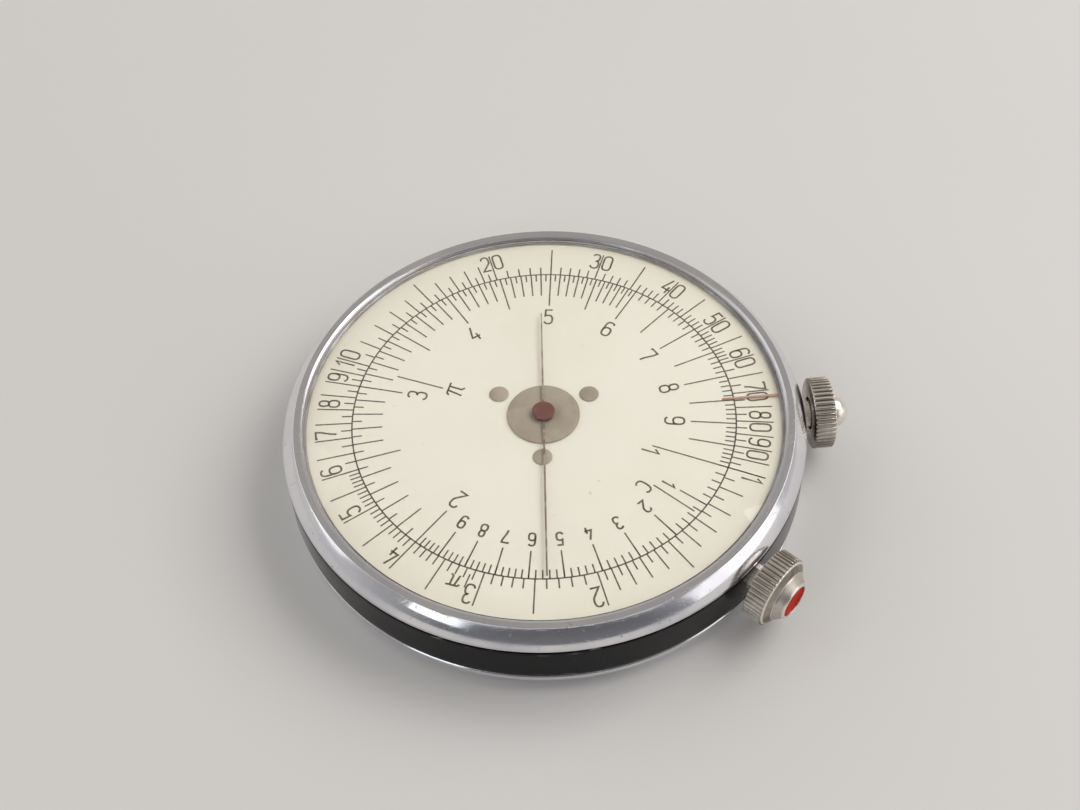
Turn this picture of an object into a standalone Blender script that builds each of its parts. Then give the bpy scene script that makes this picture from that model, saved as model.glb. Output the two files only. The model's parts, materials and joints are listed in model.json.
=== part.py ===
"""Pocket circular slide rule in a round two-sided case, like a pocket watch.

The front dial turns with one knob. Two hands on one arbor, one on each side,
turn with the other knob. Each knob drives a wheel with face teeth through a
pinion. A fixed red index lies over the front dial, and the rear dial is fixed.

Units are metres. The dial axis is world Z, the rule lies on its rear face at
z = 0, and "height" below means the distance above the middle plane of the case.
"""

import math

import bmesh
import bpy
from mathutils import Matrix, Vector

# Angles, in degrees about the dial axis, as the photograph shows the rule
DIAL_KNOB_AZIMUTH = 3.3
HAND_KNOB_AZIMUTH = -42.2
INDEX_AZIMUTH = 3.0
HAND_AZIMUTH = -91.0
RIVET_AZIMUTH = 27.0
SCREW_AZIMUTH = 40.0
FOOT_AZIMUTH = 100.0

# Clearances
FIT_GAP = 0.00005
RUNNING_GAP = 0.00005
SEAT_GAP = 0.00010
STACK_GAP = 0.00013
CUT_OVERRUN = 0.00050
TOOTH_OVERRUN = 0.00020

# Rear bezel, from the opening over the dial out to the side of the case
LIP_RADIUS = 0.02350
CRYSTAL_SEAT_WIDTH = 0.00040
CREST_SLOPE_WIDTH = 0.00035
CREST_LAND = 0.00012
BEZEL_FLANK_WIDTH = 0.00163
BEZEL_FLANK_DROP = 0.00225
BEZEL_FLANK_BOW = 0.00010
BEZEL_SKIRT_WALL = 0.00135
CREST_SLOPE_DROP = 0.00040
BEZEL_EDGE = 0.00010

# Front bezel: lower than the domed cover inside it, with a round crest
FRONT_SEAT_WIDTH = 0.00025
FRONT_CREST_DROP = 0.00060
FRONT_SEAT_WALL_DROP = 0.00034
FRONT_CREST_RISE_WIDTH = 0.00014
FRONT_CREST_RISE = 0.00024
FRONT_CREST_WIDTH = 0.00030
FRONT_ROUND = 0.00030
FRONT_FLANK_WIDTH = 0.00127
FRONT_FLANK_DROP = 0.00175

# Case band between the two bezels
BAND_HEIGHT = 0.00420
BAND_EDGE = 0.00012
NECK_WALL = 0.00195
LEDGE_WIDTH = 0.00170

# Dials, hub and rivets
DIAL_OVERLAP = 0.00020
DIAL_THICKNESS = 0.00050
HUB_RADIUS = 0.00360
HUB_FLANGE_THICKNESS = 0.00015
HUB_WALL = 0.00080
RIVET_CIRCLE_RADIUS = 0.00520
RIVET_HEAD_RADIUS = 0.00097
RIVET_SHANK_RADIUS = 0.00050
RIVET_HEAD_HEIGHT = 0.00018
FOOT_RADIUS = 0.00040
FOOT_LENGTH = 0.00095

# Index, hands and hand caps
INDEX_REACH = 0.00570
INDEX_WIDTH = 0.00026
INDEX_TIP_WIDTH = 0.00016
INDEX_THICKNESS = 0.00012
INDEX_RISER_GAP = 0.00020
INDEX_GAP = 0.00012
HAND_GAP = 0.00012
HAND_THICKNESS = 0.00012
HAND_LENGTH = 0.01890
HAND_TAIL_LENGTH = 0.01310
HAND_ROOT_WIDTH = 0.00022
HAND_TIP_WIDTH = 0.00016
HAND_TAIL_TIP_WIDTH = 0.00012
HAND_BOSS_RADIUS = 0.00100
CAP_RADIUS = 0.00112
CAP_HEIGHT = 0.00027
CAP_CROWN = 0.00017
CAP_GAP = 0.00010

# Crystals
CRYSTAL_THICKNESS = 0.00070
CRYSTAL_BEVEL_WIDTH = 0.00040
CRYSTAL_BEVEL_HEIGHT = 0.00030
DOME_FACE_DROP = 0.00100
DOME_BACK_DROP = 0.00055
DOME_SHARES = (0.28, 0.55, 0.82, 1.0)

# Arbor, bush and friction washers
ARBOR_RADIUS = 0.00050
BUSH_WALL = 0.00040
BUSH_FLANGE_RADIUS = 0.00260
BUSH_FLANGE_THICKNESS = 0.00030
BUSH_TAIL = 0.00060
WASHER_THICKNESS = 0.00012
WASHER_WIDTH = 0.00110
HAND_WHEEL_BOSS_RADIUS = 0.00160

# Wheels with face teeth, and their pinions
DIAL_WHEEL_TEETH = 76
HAND_WHEEL_TEETH = 56
PINION_TEETH = 8
WHEEL_MARGIN = 0.00115
TOOTH_FACE = 0.00160
WEB_THICKNESS = 0.00035
PINION_LENGTH = 0.00180
ADDENDUM_SHARE = 0.60
DEDENDUM_SHARE = 0.84
TOOTH_SHARE = 0.42
PRESSURE_ANGLE = 20.0

# Main plate and its screws
PLATE_THICKNESS = 0.00140
WINDOW_GAP = 0.00020
SCREW_HEAD_RADIUS = 0.00085
SCREW_HEAD_HEIGHT = 0.00045
SCREW_SHANK_RADIUS = 0.00045
SCREW_LENGTH = 0.00240
SCREW_SLOT_WIDTH = 0.00022
SCREW_SLOT_DEPTH = 0.00020

# Stems, tubes and clips
STEM_RADIUS = 0.00070
PIVOT_RADIUS = 0.00030
PIVOT_LENGTH = 0.00100
TUBE_WALL = 0.00065
TUBE_STAND = 0.00130
CLIP_WIDTH = 0.00060
CLIP_THICKNESS = 0.00030
CLIP_MOUTH = 0.00090

# Knobs, measured along the knob's own axis from its back face
KNOB_RADIUS = 0.00360
KNOB_STAND = 0.00095
KNURL_LENGTH = 0.00215
KNURL_BACK_CHAMFER = 0.00014
KNURL_FRONT_CHAMFER = 0.00020
KNURL_CHAMFER_DEPTH = 0.00030
KNURL_DEPTH = 0.00022
KNURL_COUNT = 44
KNURL_MOUTH_SHARE = 0.76
DOT_THICKNESS = 0.00022
DOT_DEPTH = 0.00014
TUBE_RECESS_GAP = 0.00030
TUBE_RECESS_DEPTH = 0.00070
STEM_SOCKET_DEPTH = 0.00255

# Nose of the hand knob: a cone on a sloped face, with a wide dot in its tip
CONE_BASE_RADIUS = 0.00255
CONE_BASE_RISE = 0.00042
CONE_LENGTH = 0.00135
CONE_TIP_RADIUS = 0.00184
CONE_DOT_RADIUS = 0.00158

# Nose of the dial knob: a narrow ball with a small dot in its tip
BALL_RADIUS = 0.00165
BALL_RISE = 0.00015
BALL_TIP_RADIUS = 0.00072
BALL_DOT_RADIUS = 0.00050

# How many of each
DIAL_RIVETS = 3
DIAL_FEET = 3
PLATE_SCREWS = 3

# Facets
LARGE_STEPS = 44
HUB_STEPS = 24
SMALL_STEPS = 14
SCREW_STEPS = 12
ARC_STEPS = 4
DOME_STEPS = 2
BALL_STEPS = 4
MERGE_DISTANCE = 0.000001
SMOOTH_ANGLE = 32.0

# Radii that follow from the sizes above
seat_radius = LIP_RADIUS + CRYSTAL_SEAT_WIDTH
crest_inner_radius = seat_radius + CREST_SLOPE_WIDTH
crest_outer_radius = crest_inner_radius + CREST_LAND
case_radius = crest_outer_radius + BEZEL_FLANK_WIDTH
skirt_radius = case_radius - BEZEL_SKIRT_WALL
neck_radius = skirt_radius - FIT_GAP
neck_inner_radius = neck_radius - NECK_WALL
ledge_radius = neck_inner_radius - LEDGE_WIDTH
dial_radius = LIP_RADIUS + DIAL_OVERLAP
index_tip_radius = LIP_RADIUS - INDEX_REACH
crystal_radius = seat_radius - SEAT_GAP
front_seat_radius = LIP_RADIUS + FRONT_SEAT_WIDTH
front_crystal_radius = front_seat_radius - SEAT_GAP
plate_radius = neck_inner_radius - SEAT_GAP
screw_circle_radius = (ledge_radius + neck_inner_radius) / 2

# Gear train, sized so that the dial wheel fits inside the ledge
dial_wheel_outer = ledge_radius - WHEEL_MARGIN
dial_wheel_radius = dial_wheel_outer - TOOTH_FACE / 2
module = 2 * dial_wheel_radius / DIAL_WHEEL_TEETH
hand_wheel_radius = module * HAND_WHEEL_TEETH / 2
pinion_radius = module * PINION_TEETH / 2
tooth_pitch = math.pi * module
addendum = ADDENDUM_SHARE * module
dedendum = DEDENDUM_SHARE * module
pinion_tip_radius = pinion_radius + addendum
pinion_root_radius = pinion_radius - dedendum

# Heights above the middle plane; the rear side mirrors them
tooth_tip_height = pinion_radius - addendum
web_back_height = pinion_radius + dedendum
web_front_height = web_back_height + WEB_THICKNESS
dial_back_height = web_front_height + STACK_GAP
dial_face_height = dial_back_height + DIAL_THICKNESS
index_height = dial_face_height + INDEX_GAP
hand_height = index_height + INDEX_THICKNESS + HAND_GAP
cap_height = hand_height + HAND_THICKNESS + FIT_GAP
crystal_back_height = cap_height + CAP_HEIGHT + CAP_GAP
crystal_face_height = crystal_back_height + CRYSTAL_THICKNESS
neck_height = dial_back_height - STACK_GAP
plate_height = PLATE_THICKNESS / 2
seam_height = BAND_HEIGHT / 2 + SEAT_GAP
middle = crystal_face_height

# Round the dial axis
bush_bore = ARBOR_RADIUS + RUNNING_GAP
bush_radius = bush_bore + BUSH_WALL
hub_bore = bush_radius + RUNNING_GAP
hub_pipe_radius = hub_bore + HUB_WALL
bush_flange_top = plate_height + FIT_GAP + BUSH_FLANGE_THICKNESS
dial_washer_base = bush_flange_top + FIT_GAP
hub_base_height = dial_washer_base + WASHER_THICKNESS + FIT_GAP
hub_face_height = dial_face_height + FIT_GAP + HUB_FLANGE_THICKNESS
bush_tail_height = plate_height + BUSH_TAIL
hand_washer_base = bush_tail_height + FIT_GAP
hand_boss_height = hand_washer_base + WASHER_THICKNESS + FIT_GAP
arbor_height = cap_height + CAP_CROWN - FIT_GAP

# Along a knob's axis, as distances from the dial axis
tube_bore = STEM_RADIUS + RUNNING_GAP
tube_radius = tube_bore + TUBE_WALL
tube_inner_end = neck_inner_radius + SEAT_GAP
tube_outer_end = case_radius + TUBE_STAND
clip_radius = STEM_RADIUS + FIT_GAP + CLIP_WIDTH
clip_outer_end = tube_inner_end - SEAT_GAP
knob_back = case_radius + KNOB_STAND
knurl_end = knob_back + KNURL_LENGTH
knob_face_radius = KNOB_RADIUS - KNURL_CHAMFER_DEPTH
stem_end = knob_back + STEM_SOCKET_DEPTH - SEAT_GAP

parts = bpy.data.collections.new("circular_slide_rule")
cutters = bpy.data.collections.new("cutters")
FRONT = 1
REAR = -1


def clear_scene():
    for old in list(bpy.data.objects):
        bpy.data.objects.remove(old, do_unlink=True)


def material(name, colour, roughness, metallic, transmission=0.0):
    """Return the named material, made on its first use."""
    found = bpy.data.materials.get(name)
    if found:
        return found
    new = bpy.data.materials.new(name)
    new.use_nodes = True
    shader = new.node_tree.nodes["Principled BSDF"]
    shader.inputs["Base Color"].default_value = (*colour, 1.0)
    shader.inputs["Roughness"].default_value = roughness
    shader.inputs["Metallic"].default_value = metallic
    shader.inputs["Transmission Weight"].default_value = transmission
    new.diffuse_color = (*colour, 1.0)
    return new


def chrome():
    return material("chrome", (0.80, 0.79, 0.77), 0.12, 1.0)


def black_nickel():
    return material("black_nickel", (0.10, 0.10, 0.11), 0.20, 1.0)


def nickel():
    return material("nickel", (0.64, 0.60, 0.54), 0.30, 1.0)


def brass():
    return material("brass", (0.72, 0.54, 0.26), 0.35, 1.0)


def steel():
    return material("steel", (0.48, 0.48, 0.50), 0.30, 1.0)


def dial_paint():
    return material("dial_paint", (0.84, 0.80, 0.69), 0.50, 0.0)


def hub_metal():
    return material("hub_metal", (0.46, 0.42, 0.35), 0.45, 0.6)


def red_paint():
    return material("red_paint", (0.60, 0.05, 0.02), 0.35, 0.0)


def black_paint():
    return material("black_paint", (0.02, 0.02, 0.02), 0.35, 0.0)


def hand_paint():
    return material("hand_paint", (0.07, 0.06, 0.06), 0.45, 0.0)


def clear_plastic():
    return material("clear_plastic", (0.95, 0.96, 0.95), 0.04, 0.0, 1.0)


def placed(obj, collection, azimuth=0.0, along_knob=False, centre=(0, 0)):
    """Link an object on the dial axis or another upright axis, or along a knob's axis."""
    collection.objects.link(obj)
    obj.location = (*centre, middle)
    tilt = math.pi / 2 if along_knob else 0.0
    obj.rotation_euler = (0, tilt, math.radians(azimuth))
    if collection is cutters:
        obj.hide_render = True
        obj.display_type = "WIRE"
    return obj


def finished(obj, surface):
    """Apply the modifiers, shade the round faces smooth and give the material."""
    bpy.context.view_layer.update()
    graph = bpy.context.evaluated_depsgraph_get()
    mesh = bpy.data.meshes.new_from_object(obj.evaluated_get(graph))
    mesh.name = obj.name
    obj.modifiers.clear()
    obj.data = mesh
    mesh.shade_smooth()
    mesh.set_sharp_from_angle(angle=math.radians(SMOOTH_ANGLE))
    mesh.materials.clear()
    mesh.materials.append(surface)
    return obj


def doubled_area(outline):
    """Twice the signed area of an outline given as (radius, height) points."""
    following = outline[1:] + outline[:1]
    return sum(a[0] * b[1] - b[0] * a[1] for a, b in zip(outline, following))


def turned(name, outline, collection, side=FRONT, steps=LARGE_STEPS, azimuth=0.0, along_knob=False,
           centre=(0, 0)):
    """Turn an outline of (radius, height) points about local Z.

    An outline that starts and ends on the axis is left open there.
    """
    points = [(radius, side * height) for radius, height in outline]
    if doubled_area(points) > 0:
        points.reverse()
    mesh = bpy.data.meshes.new(name)
    count = len(points)
    edges = [(i, i + 1) for i in range(count - 1)]
    if points[0][0] > 0 or points[-1][0] > 0:
        edges.append((count - 1, 0))
    mesh.from_pydata([(radius, 0, height) for radius, height in points], edges, [])
    obj = placed(bpy.data.objects.new(name, mesh), collection, azimuth, along_knob, centre)
    screw = obj.modifiers.new("Screw", "SCREW")
    screw.axis = "Z"
    screw.angle = 2 * math.pi
    screw.steps = steps
    screw.render_steps = steps
    screw.use_merge_vertices = True
    screw.merge_threshold = MERGE_DISTANCE
    return obj


def ring(name, inner, outer, low, high, collection, side=FRONT, steps=SMALL_STEPS, along_knob=False,
         azimuth=0.0):
    outline = [(inner, high), (outer, high), (outer, low), (inner, low)]
    return turned(name, outline, collection, side, steps, azimuth, along_knob)


def plain_cutter(name, shapes, azimuth=0.0):
    """Make one cutter from a function that fills a bmesh with closed shapes."""
    mesh = bpy.data.meshes.new(name)
    bm = bmesh.new()
    shapes(bm)
    bmesh.ops.recalc_face_normals(bm, faces=bm.faces)
    bm.to_mesh(mesh)
    bm.free()
    return placed(bpy.data.objects.new(name, mesh), cutters, azimuth)


def cut(target, cutter, operation="DIFFERENCE"):
    boolean = target.modifiers.new(cutter.name, "BOOLEAN")
    boolean.operation = operation
    boolean.solver = "EXACT"
    boolean.object = cutter


def add_rod(bm, radius, low, high, centre=(0, 0), steps=SCREW_STEPS):
    """Add an upright closed cylinder between two heights."""
    lift = Matrix.Translation((centre[0], centre[1], (low + high) / 2))
    bmesh.ops.create_cone(bm, cap_ends=True, segments=steps, radius1=radius, radius2=radius,
                          depth=high - low, matrix=lift)


def add_radial_rod(bm, radius, start, end, azimuth, steps=SMALL_STEPS):
    """Add a closed cylinder that lies along a radius of the dial."""
    turn = Matrix.Rotation(math.radians(azimuth), 4, "Z") @ Matrix.Rotation(math.pi / 2, 4, "Y")
    lift = Matrix.Translation((0, 0, (start + end) / 2))
    bmesh.ops.create_cone(bm, cap_ends=True, segments=steps, radius1=radius, radius2=radius,
                          depth=end - start, matrix=turn @ lift)


def add_radial_box(bm, start, end, width, low, high, azimuth):
    """Add a box that lies along a radius of the dial."""
    size = Matrix.Diagonal((end - start, width, high - low, 1))
    lift = Matrix.Translation(((start + end) / 2, 0, (low + high) / 2))
    turn = Matrix.Rotation(math.radians(azimuth), 4, "Z")
    bmesh.ops.create_cube(bm, size=1, matrix=turn @ lift @ size)


def circle_places(radius, azimuth, count):
    """Points spread evenly on a circle about the dial axis."""
    for i in range(count):
        angle = math.radians(azimuth + 360 * i / count)
        yield radius * math.cos(angle), radius * math.sin(angle)


def quarter_arc(centre, width, height, steps):
    """Points of a quarter ellipse that falls from its top to its outer side."""
    points = []
    for i in range(steps + 1):
        angle = math.pi / 2 * i / steps
        points.append((centre[0] + width * math.sin(angle), centre[1] + height * math.cos(angle)))
    return points


def bezel_skirt():
    """Points that both bezels share: the foot of the side, the skirt and the lip's underside."""
    under = dial_face_height + SEAT_GAP
    return [
        (case_radius, seam_height + BEZEL_EDGE),
        (case_radius - BEZEL_EDGE, seam_height),
        (skirt_radius, seam_height),
        (skirt_radius, under),
        (LIP_RADIUS, under),
    ]


def rear_bezel_outline():
    """Section with a narrow flat crest, level with the cover, that the rule rests on."""
    seat = crystal_back_height - SEAT_GAP
    slant = math.hypot(BEZEL_FLANK_WIDTH, BEZEL_FLANK_DROP)
    flank = []
    for i in range(ARC_STEPS + 1):
        share = i / ARC_STEPS
        bulge = BEZEL_FLANK_BOW * 4 * share * (1 - share)
        flank.append((crest_outer_radius + BEZEL_FLANK_WIDTH * share + bulge * BEZEL_FLANK_DROP / slant,
                      crystal_face_height - BEZEL_FLANK_DROP * share + bulge * BEZEL_FLANK_WIDTH / slant))
    return [
        (crest_inner_radius, crystal_face_height),
        *flank,
        *bezel_skirt(),
        (LIP_RADIUS, seat),
        (seat_radius, seat),
        (seat_radius, crystal_face_height - CREST_SLOPE_DROP),
    ]


def front_bezel_outline():
    """Section with a round crest and a conical side, as the photograph shows it."""
    seat = crystal_back_height - DOME_BACK_DROP - SEAT_GAP
    crest = crystal_face_height - FRONT_CREST_DROP
    inner = front_seat_radius + FRONT_CREST_RISE_WIDTH
    corner = case_radius - FRONT_FLANK_WIDTH
    slant = math.hypot(FRONT_FLANK_WIDTH, FRONT_FLANK_DROP)
    end = (corner + FRONT_ROUND * FRONT_FLANK_WIDTH / slant, crest - FRONT_ROUND * FRONT_FLANK_DROP / slant)
    start = (corner - FRONT_ROUND, crest)
    turn = []
    for i in range(ARC_STEPS):
        t = i / (ARC_STEPS - 1)
        turn.append(tuple((1 - t) * (1 - t) * p + 2 * t * (1 - t) * q + t * t * r
                          for p, q, r in zip(start, (corner, crest), end)))
    return [
        (inner + FRONT_CREST_WIDTH, crest),
        *turn,
        (case_radius, crest - FRONT_FLANK_DROP),
        *bezel_skirt(),
        (LIP_RADIUS, seat),
        (front_seat_radius, seat),
        (front_seat_radius, crest - FRONT_SEAT_WALL_DROP),
        (inner, crest - FRONT_CREST_RISE / 2),
    ]


def make_bezels():
    front = turned("front_bezel", front_bezel_outline(), parts, FRONT)
    notch_width = INDEX_WIDTH + 2 * SEAT_GAP
    notch_low = dial_face_height
    notch_high = index_height + INDEX_THICKNESS + SEAT_GAP
    notch_end = dial_radius + INDEX_RISER_GAP + INDEX_THICKNESS + SEAT_GAP

    def notch(bm):
        add_radial_box(bm, LIP_RADIUS - CUT_OVERRUN, notch_end, notch_width, notch_low, notch_high,
                       INDEX_AZIMUTH)

    cut(front, plain_cutter("index_notch", notch))
    finished(front, chrome())
    finished(turned("rear_bezel", rear_bezel_outline(), parts, REAR), chrome())


def make_crystals():
    """Domed cover in front and a flat one behind."""
    dome = [(0, crystal_face_height)]
    dome += [(front_crystal_radius * share, crystal_face_height - DOME_FACE_DROP * share * share)
             for share in DOME_SHARES]
    dome += [(front_crystal_radius * share, crystal_back_height - DOME_BACK_DROP * share * share)
             for share in reversed(DOME_SHARES)]
    dome.append((0, crystal_back_height))
    finished(turned("front_crystal", dome, parts, FRONT), clear_plastic())
    outline = [
        (0, crystal_face_height),
        (crystal_radius - CRYSTAL_BEVEL_WIDTH, crystal_face_height),
        (crystal_radius, crystal_face_height - CRYSTAL_BEVEL_HEIGHT),
        (crystal_radius, crystal_back_height),
        (0, crystal_back_height),
    ]
    finished(turned("rear_crystal", outline, parts, REAR), clear_plastic())


def make_band():
    """Middle ring of the case: plain outer wall, a neck each side, a ledge for the plate."""
    half = BAND_HEIGHT / 2
    ledge_top = -plate_height - SEAT_GAP
    outline = [
        (neck_inner_radius, neck_height),
        (neck_radius, neck_height),
        (neck_radius, half),
        (case_radius - BAND_EDGE, half),
        (case_radius, half - BAND_EDGE),
        (case_radius, BAND_EDGE - half),
        (case_radius - BAND_EDGE, -half),
        (neck_radius, -half),
        (neck_radius, -neck_height),
        (ledge_radius, -neck_height),
        (ledge_radius, ledge_top),
        (neck_inner_radius, ledge_top),
    ]
    band = turned("case_band", outline, parts)
    screw_bottom = plate_height + FIT_GAP - SCREW_LENGTH

    def holes(bm):
        for azimuth in (DIAL_KNOB_AZIMUTH, HAND_KNOB_AZIMUTH):
            add_radial_rod(bm, tube_radius + FIT_GAP, ledge_radius - CUT_OVERRUN,
                           case_radius + CUT_OVERRUN, azimuth)
        for place in circle_places(screw_circle_radius, SCREW_AZIMUTH, PLATE_SCREWS):
            add_rod(bm, SCREW_SHANK_RADIUS + FIT_GAP, screw_bottom - SEAT_GAP, plate_height, place)
        for place in circle_places(screw_circle_radius, FOOT_AZIMUTH, DIAL_FEET):
            add_rod(bm, FOOT_RADIUS + FIT_GAP, -neck_height - CUT_OVERRUN,
                    FOOT_LENGTH + SEAT_GAP - dial_back_height, place)

    cut(band, plain_cutter("band_holes", holes))
    finished(band, black_nickel())


def make_tube(name, azimuth):
    """Short tube pressed into the band, which the stem turns in."""
    tube = ring(name, tube_bore, tube_radius, tube_inner_end, tube_outer_end, parts,
                azimuth=azimuth, along_knob=True)
    finished(tube, nickel())


def make_plate():
    """Main plate with a window round each pinion and a slot for each stem."""
    plate = ring("main_plate", bush_radius + FIT_GAP, plate_radius, -plate_height, plate_height, parts,
                 steps=LARGE_STEPS)
    low = -plate_height - CUT_OVERRUN
    high = plate_height + CUT_OVERRUN
    reach = PINION_LENGTH / 2 + WINDOW_GAP
    trains = ((DIAL_KNOB_AZIMUTH, dial_wheel_radius), (HAND_KNOB_AZIMUTH, hand_wheel_radius))

    def windows(bm):
        for azimuth, radius in trains:
            add_radial_box(bm, radius - reach, radius + reach, 2 * (pinion_tip_radius + WINDOW_GAP),
                           low, high, azimuth)

    def slots(bm):
        for azimuth, radius in trains:
            add_radial_box(bm, radius, plate_radius + CUT_OVERRUN, 2 * (clip_radius + WINDOW_GAP),
                           low, high, azimuth)

    def pivot_holes(bm):
        for azimuth, radius in trains:
            wall = radius - reach
            add_radial_rod(bm, PIVOT_RADIUS + RUNNING_GAP, wall - PIVOT_LENGTH - SEAT_GAP,
                           wall + WINDOW_GAP, azimuth)

    def screw_holes(bm):
        for place in circle_places(screw_circle_radius, SCREW_AZIMUTH, PLATE_SCREWS):
            add_rod(bm, SCREW_SHANK_RADIUS + FIT_GAP, low, high, place)

    cut(plate, plain_cutter("plate_windows", windows))
    cut(plate, plain_cutter("plate_slots", slots))
    cut(plate, plain_cutter("plate_pivots", pivot_holes))
    cut(plate, plain_cutter("plate_screw_holes", screw_holes))
    finished(plate, brass())


def make_screws():
    """Cheese-head screws that hold the plate on the ledge, each with its slot."""
    head_base = plate_height + FIT_GAP
    top = head_base + SCREW_HEAD_HEIGHT
    outline = [
        (0, top),
        (SCREW_HEAD_RADIUS, top),
        (SCREW_HEAD_RADIUS, head_base),
        (SCREW_SHANK_RADIUS, head_base),
        (SCREW_SHANK_RADIUS, head_base - SCREW_LENGTH),
        (0, head_base - SCREW_LENGTH),
    ]
    reach = SCREW_HEAD_RADIUS + CUT_OVERRUN

    def slots(bm):
        for i in range(PLATE_SCREWS):
            add_radial_box(bm, screw_circle_radius - reach, screw_circle_radius + reach, SCREW_SLOT_WIDTH,
                           top - SCREW_SLOT_DEPTH, top + CUT_OVERRUN, SCREW_AZIMUTH + 360 * i / PLATE_SCREWS)

    slot_cutter = plain_cutter("screw_slots", slots)
    for i, place in enumerate(circle_places(screw_circle_radius, SCREW_AZIMUTH, PLATE_SCREWS)):
        screw = turned(f"plate_screw_{i + 1}", outline, parts, steps=SCREW_STEPS, centre=place)
        cut(screw, slot_cutter)
        finished(screw, steel())


def make_bush():
    outline = [
        (bush_bore, hub_face_height - SEAT_GAP),
        (bush_radius, hub_face_height - SEAT_GAP),
        (bush_radius, bush_flange_top),
        (BUSH_FLANGE_RADIUS, bush_flange_top),
        (BUSH_FLANGE_RADIUS, plate_height + FIT_GAP),
        (bush_radius, plate_height + FIT_GAP),
        (bush_radius, -bush_tail_height),
        (bush_bore, -bush_tail_height),
    ]
    finished(turned("centre_bush", outline, parts, steps=SMALL_STEPS), brass())


def make_washers():
    front = ring("dial_friction_washer", hub_bore, hub_bore + WASHER_WIDTH, dial_washer_base,
                 dial_washer_base + WASHER_THICKNESS, parts)
    finished(front, steel())
    rear = ring("hand_friction_washer", bush_bore, bush_bore + WASHER_WIDTH, hand_washer_base,
                hand_washer_base + WASHER_THICKNESS, parts, REAR)
    finished(rear, steel())


def make_front_dial():
    dial = ring("front_dial", hub_pipe_radius + FIT_GAP, dial_radius, dial_back_height, dial_face_height,
                parts, steps=LARGE_STEPS)

    def holes(bm):
        for place in circle_places(RIVET_CIRCLE_RADIUS, RIVET_AZIMUTH, DIAL_RIVETS):
            add_rod(bm, RIVET_SHANK_RADIUS + FIT_GAP, dial_back_height - CUT_OVERRUN,
                    dial_face_height + CUT_OVERRUN, place)

    cut(dial, plain_cutter("dial_rivet_holes", holes))
    finished(dial, dial_paint())


def make_rear_dial():
    dial = ring("rear_dial", bush_bore + SEAT_GAP, dial_radius, dial_back_height, dial_face_height, parts,
                REAR, LARGE_STEPS)
    finished(dial, dial_paint())
    foot = [(0, FOOT_LENGTH - dial_back_height), (FOOT_RADIUS, FOOT_LENGTH - dial_back_height),
            (FOOT_RADIUS, FIT_GAP - dial_back_height), (0, FIT_GAP - dial_back_height)]
    for i, place in enumerate(circle_places(screw_circle_radius, FOOT_AZIMUTH, DIAL_FEET)):
        finished(turned(f"rear_dial_foot_{i + 1}", foot, parts, steps=SCREW_STEPS, centre=place), brass())


def make_hub():
    """Flanged pipe that carries the front dial and its wheel round the bush."""
    outline = [
        (hub_bore, hub_face_height),
        (HUB_RADIUS, hub_face_height),
        (HUB_RADIUS, dial_face_height + FIT_GAP),
        (hub_pipe_radius, dial_face_height + FIT_GAP),
        (hub_pipe_radius, hub_base_height),
        (hub_bore, hub_base_height),
    ]
    finished(turned("dial_hub", outline, parts, steps=HUB_STEPS), hub_metal())


def make_rivets():
    """Three rivets with low round heads that join the dial to its wheel."""
    head = dial_face_height + FIT_GAP
    tail = web_back_height - FIT_GAP
    outline = [(0, head + RIVET_HEAD_HEIGHT)]
    for radius, height in quarter_arc((0, head), RIVET_HEAD_RADIUS, RIVET_HEAD_HEIGHT, DOME_STEPS)[1:]:
        outline.append((radius, height))
    outline += [
        (RIVET_SHANK_RADIUS, head),
        (RIVET_SHANK_RADIUS, tail),
        (RIVET_HEAD_RADIUS, tail),
        (RIVET_HEAD_RADIUS, tail - RIVET_HEAD_HEIGHT),
        (0, tail - RIVET_HEAD_HEIGHT),
    ]
    for i, place in enumerate(circle_places(RIVET_CIRCLE_RADIUS, RIVET_AZIMUTH, DIAL_RIVETS)):
        finished(turned(f"dial_rivet_{i + 1}", outline, parts, steps=SMALL_STEPS, centre=place), hub_metal())


def tooth_spaces(bm, radius, teeth, side):
    """Add a tapered block for each space between the face teeth."""
    slope = math.tan(math.radians(PRESSURE_ANGLE))
    space = (1 - TOOTH_SHARE) * tooth_pitch
    floor_width = space - 2 * dedendum * slope
    mouth_width = space + 2 * (addendum + TOOTH_OVERRUN) * slope
    floor = web_back_height
    mouth = tooth_tip_height - TOOTH_OVERRUN
    reach = TOOTH_FACE / 2 + TOOTH_OVERRUN
    for i in range(teeth):
        turn = Matrix.Rotation(2 * math.pi * i / teeth, 4, "Z")
        verts = bmesh.ops.create_cube(bm, size=1)["verts"]
        for vert in verts:
            at_floor = vert.co.z > 0
            width = floor_width if at_floor else mouth_width
            height = floor if at_floor else mouth
            place = Vector((radius + 2 * vert.co.x * reach, side * vert.co.y * width, side * height))
            vert.co = turn @ place


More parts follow.
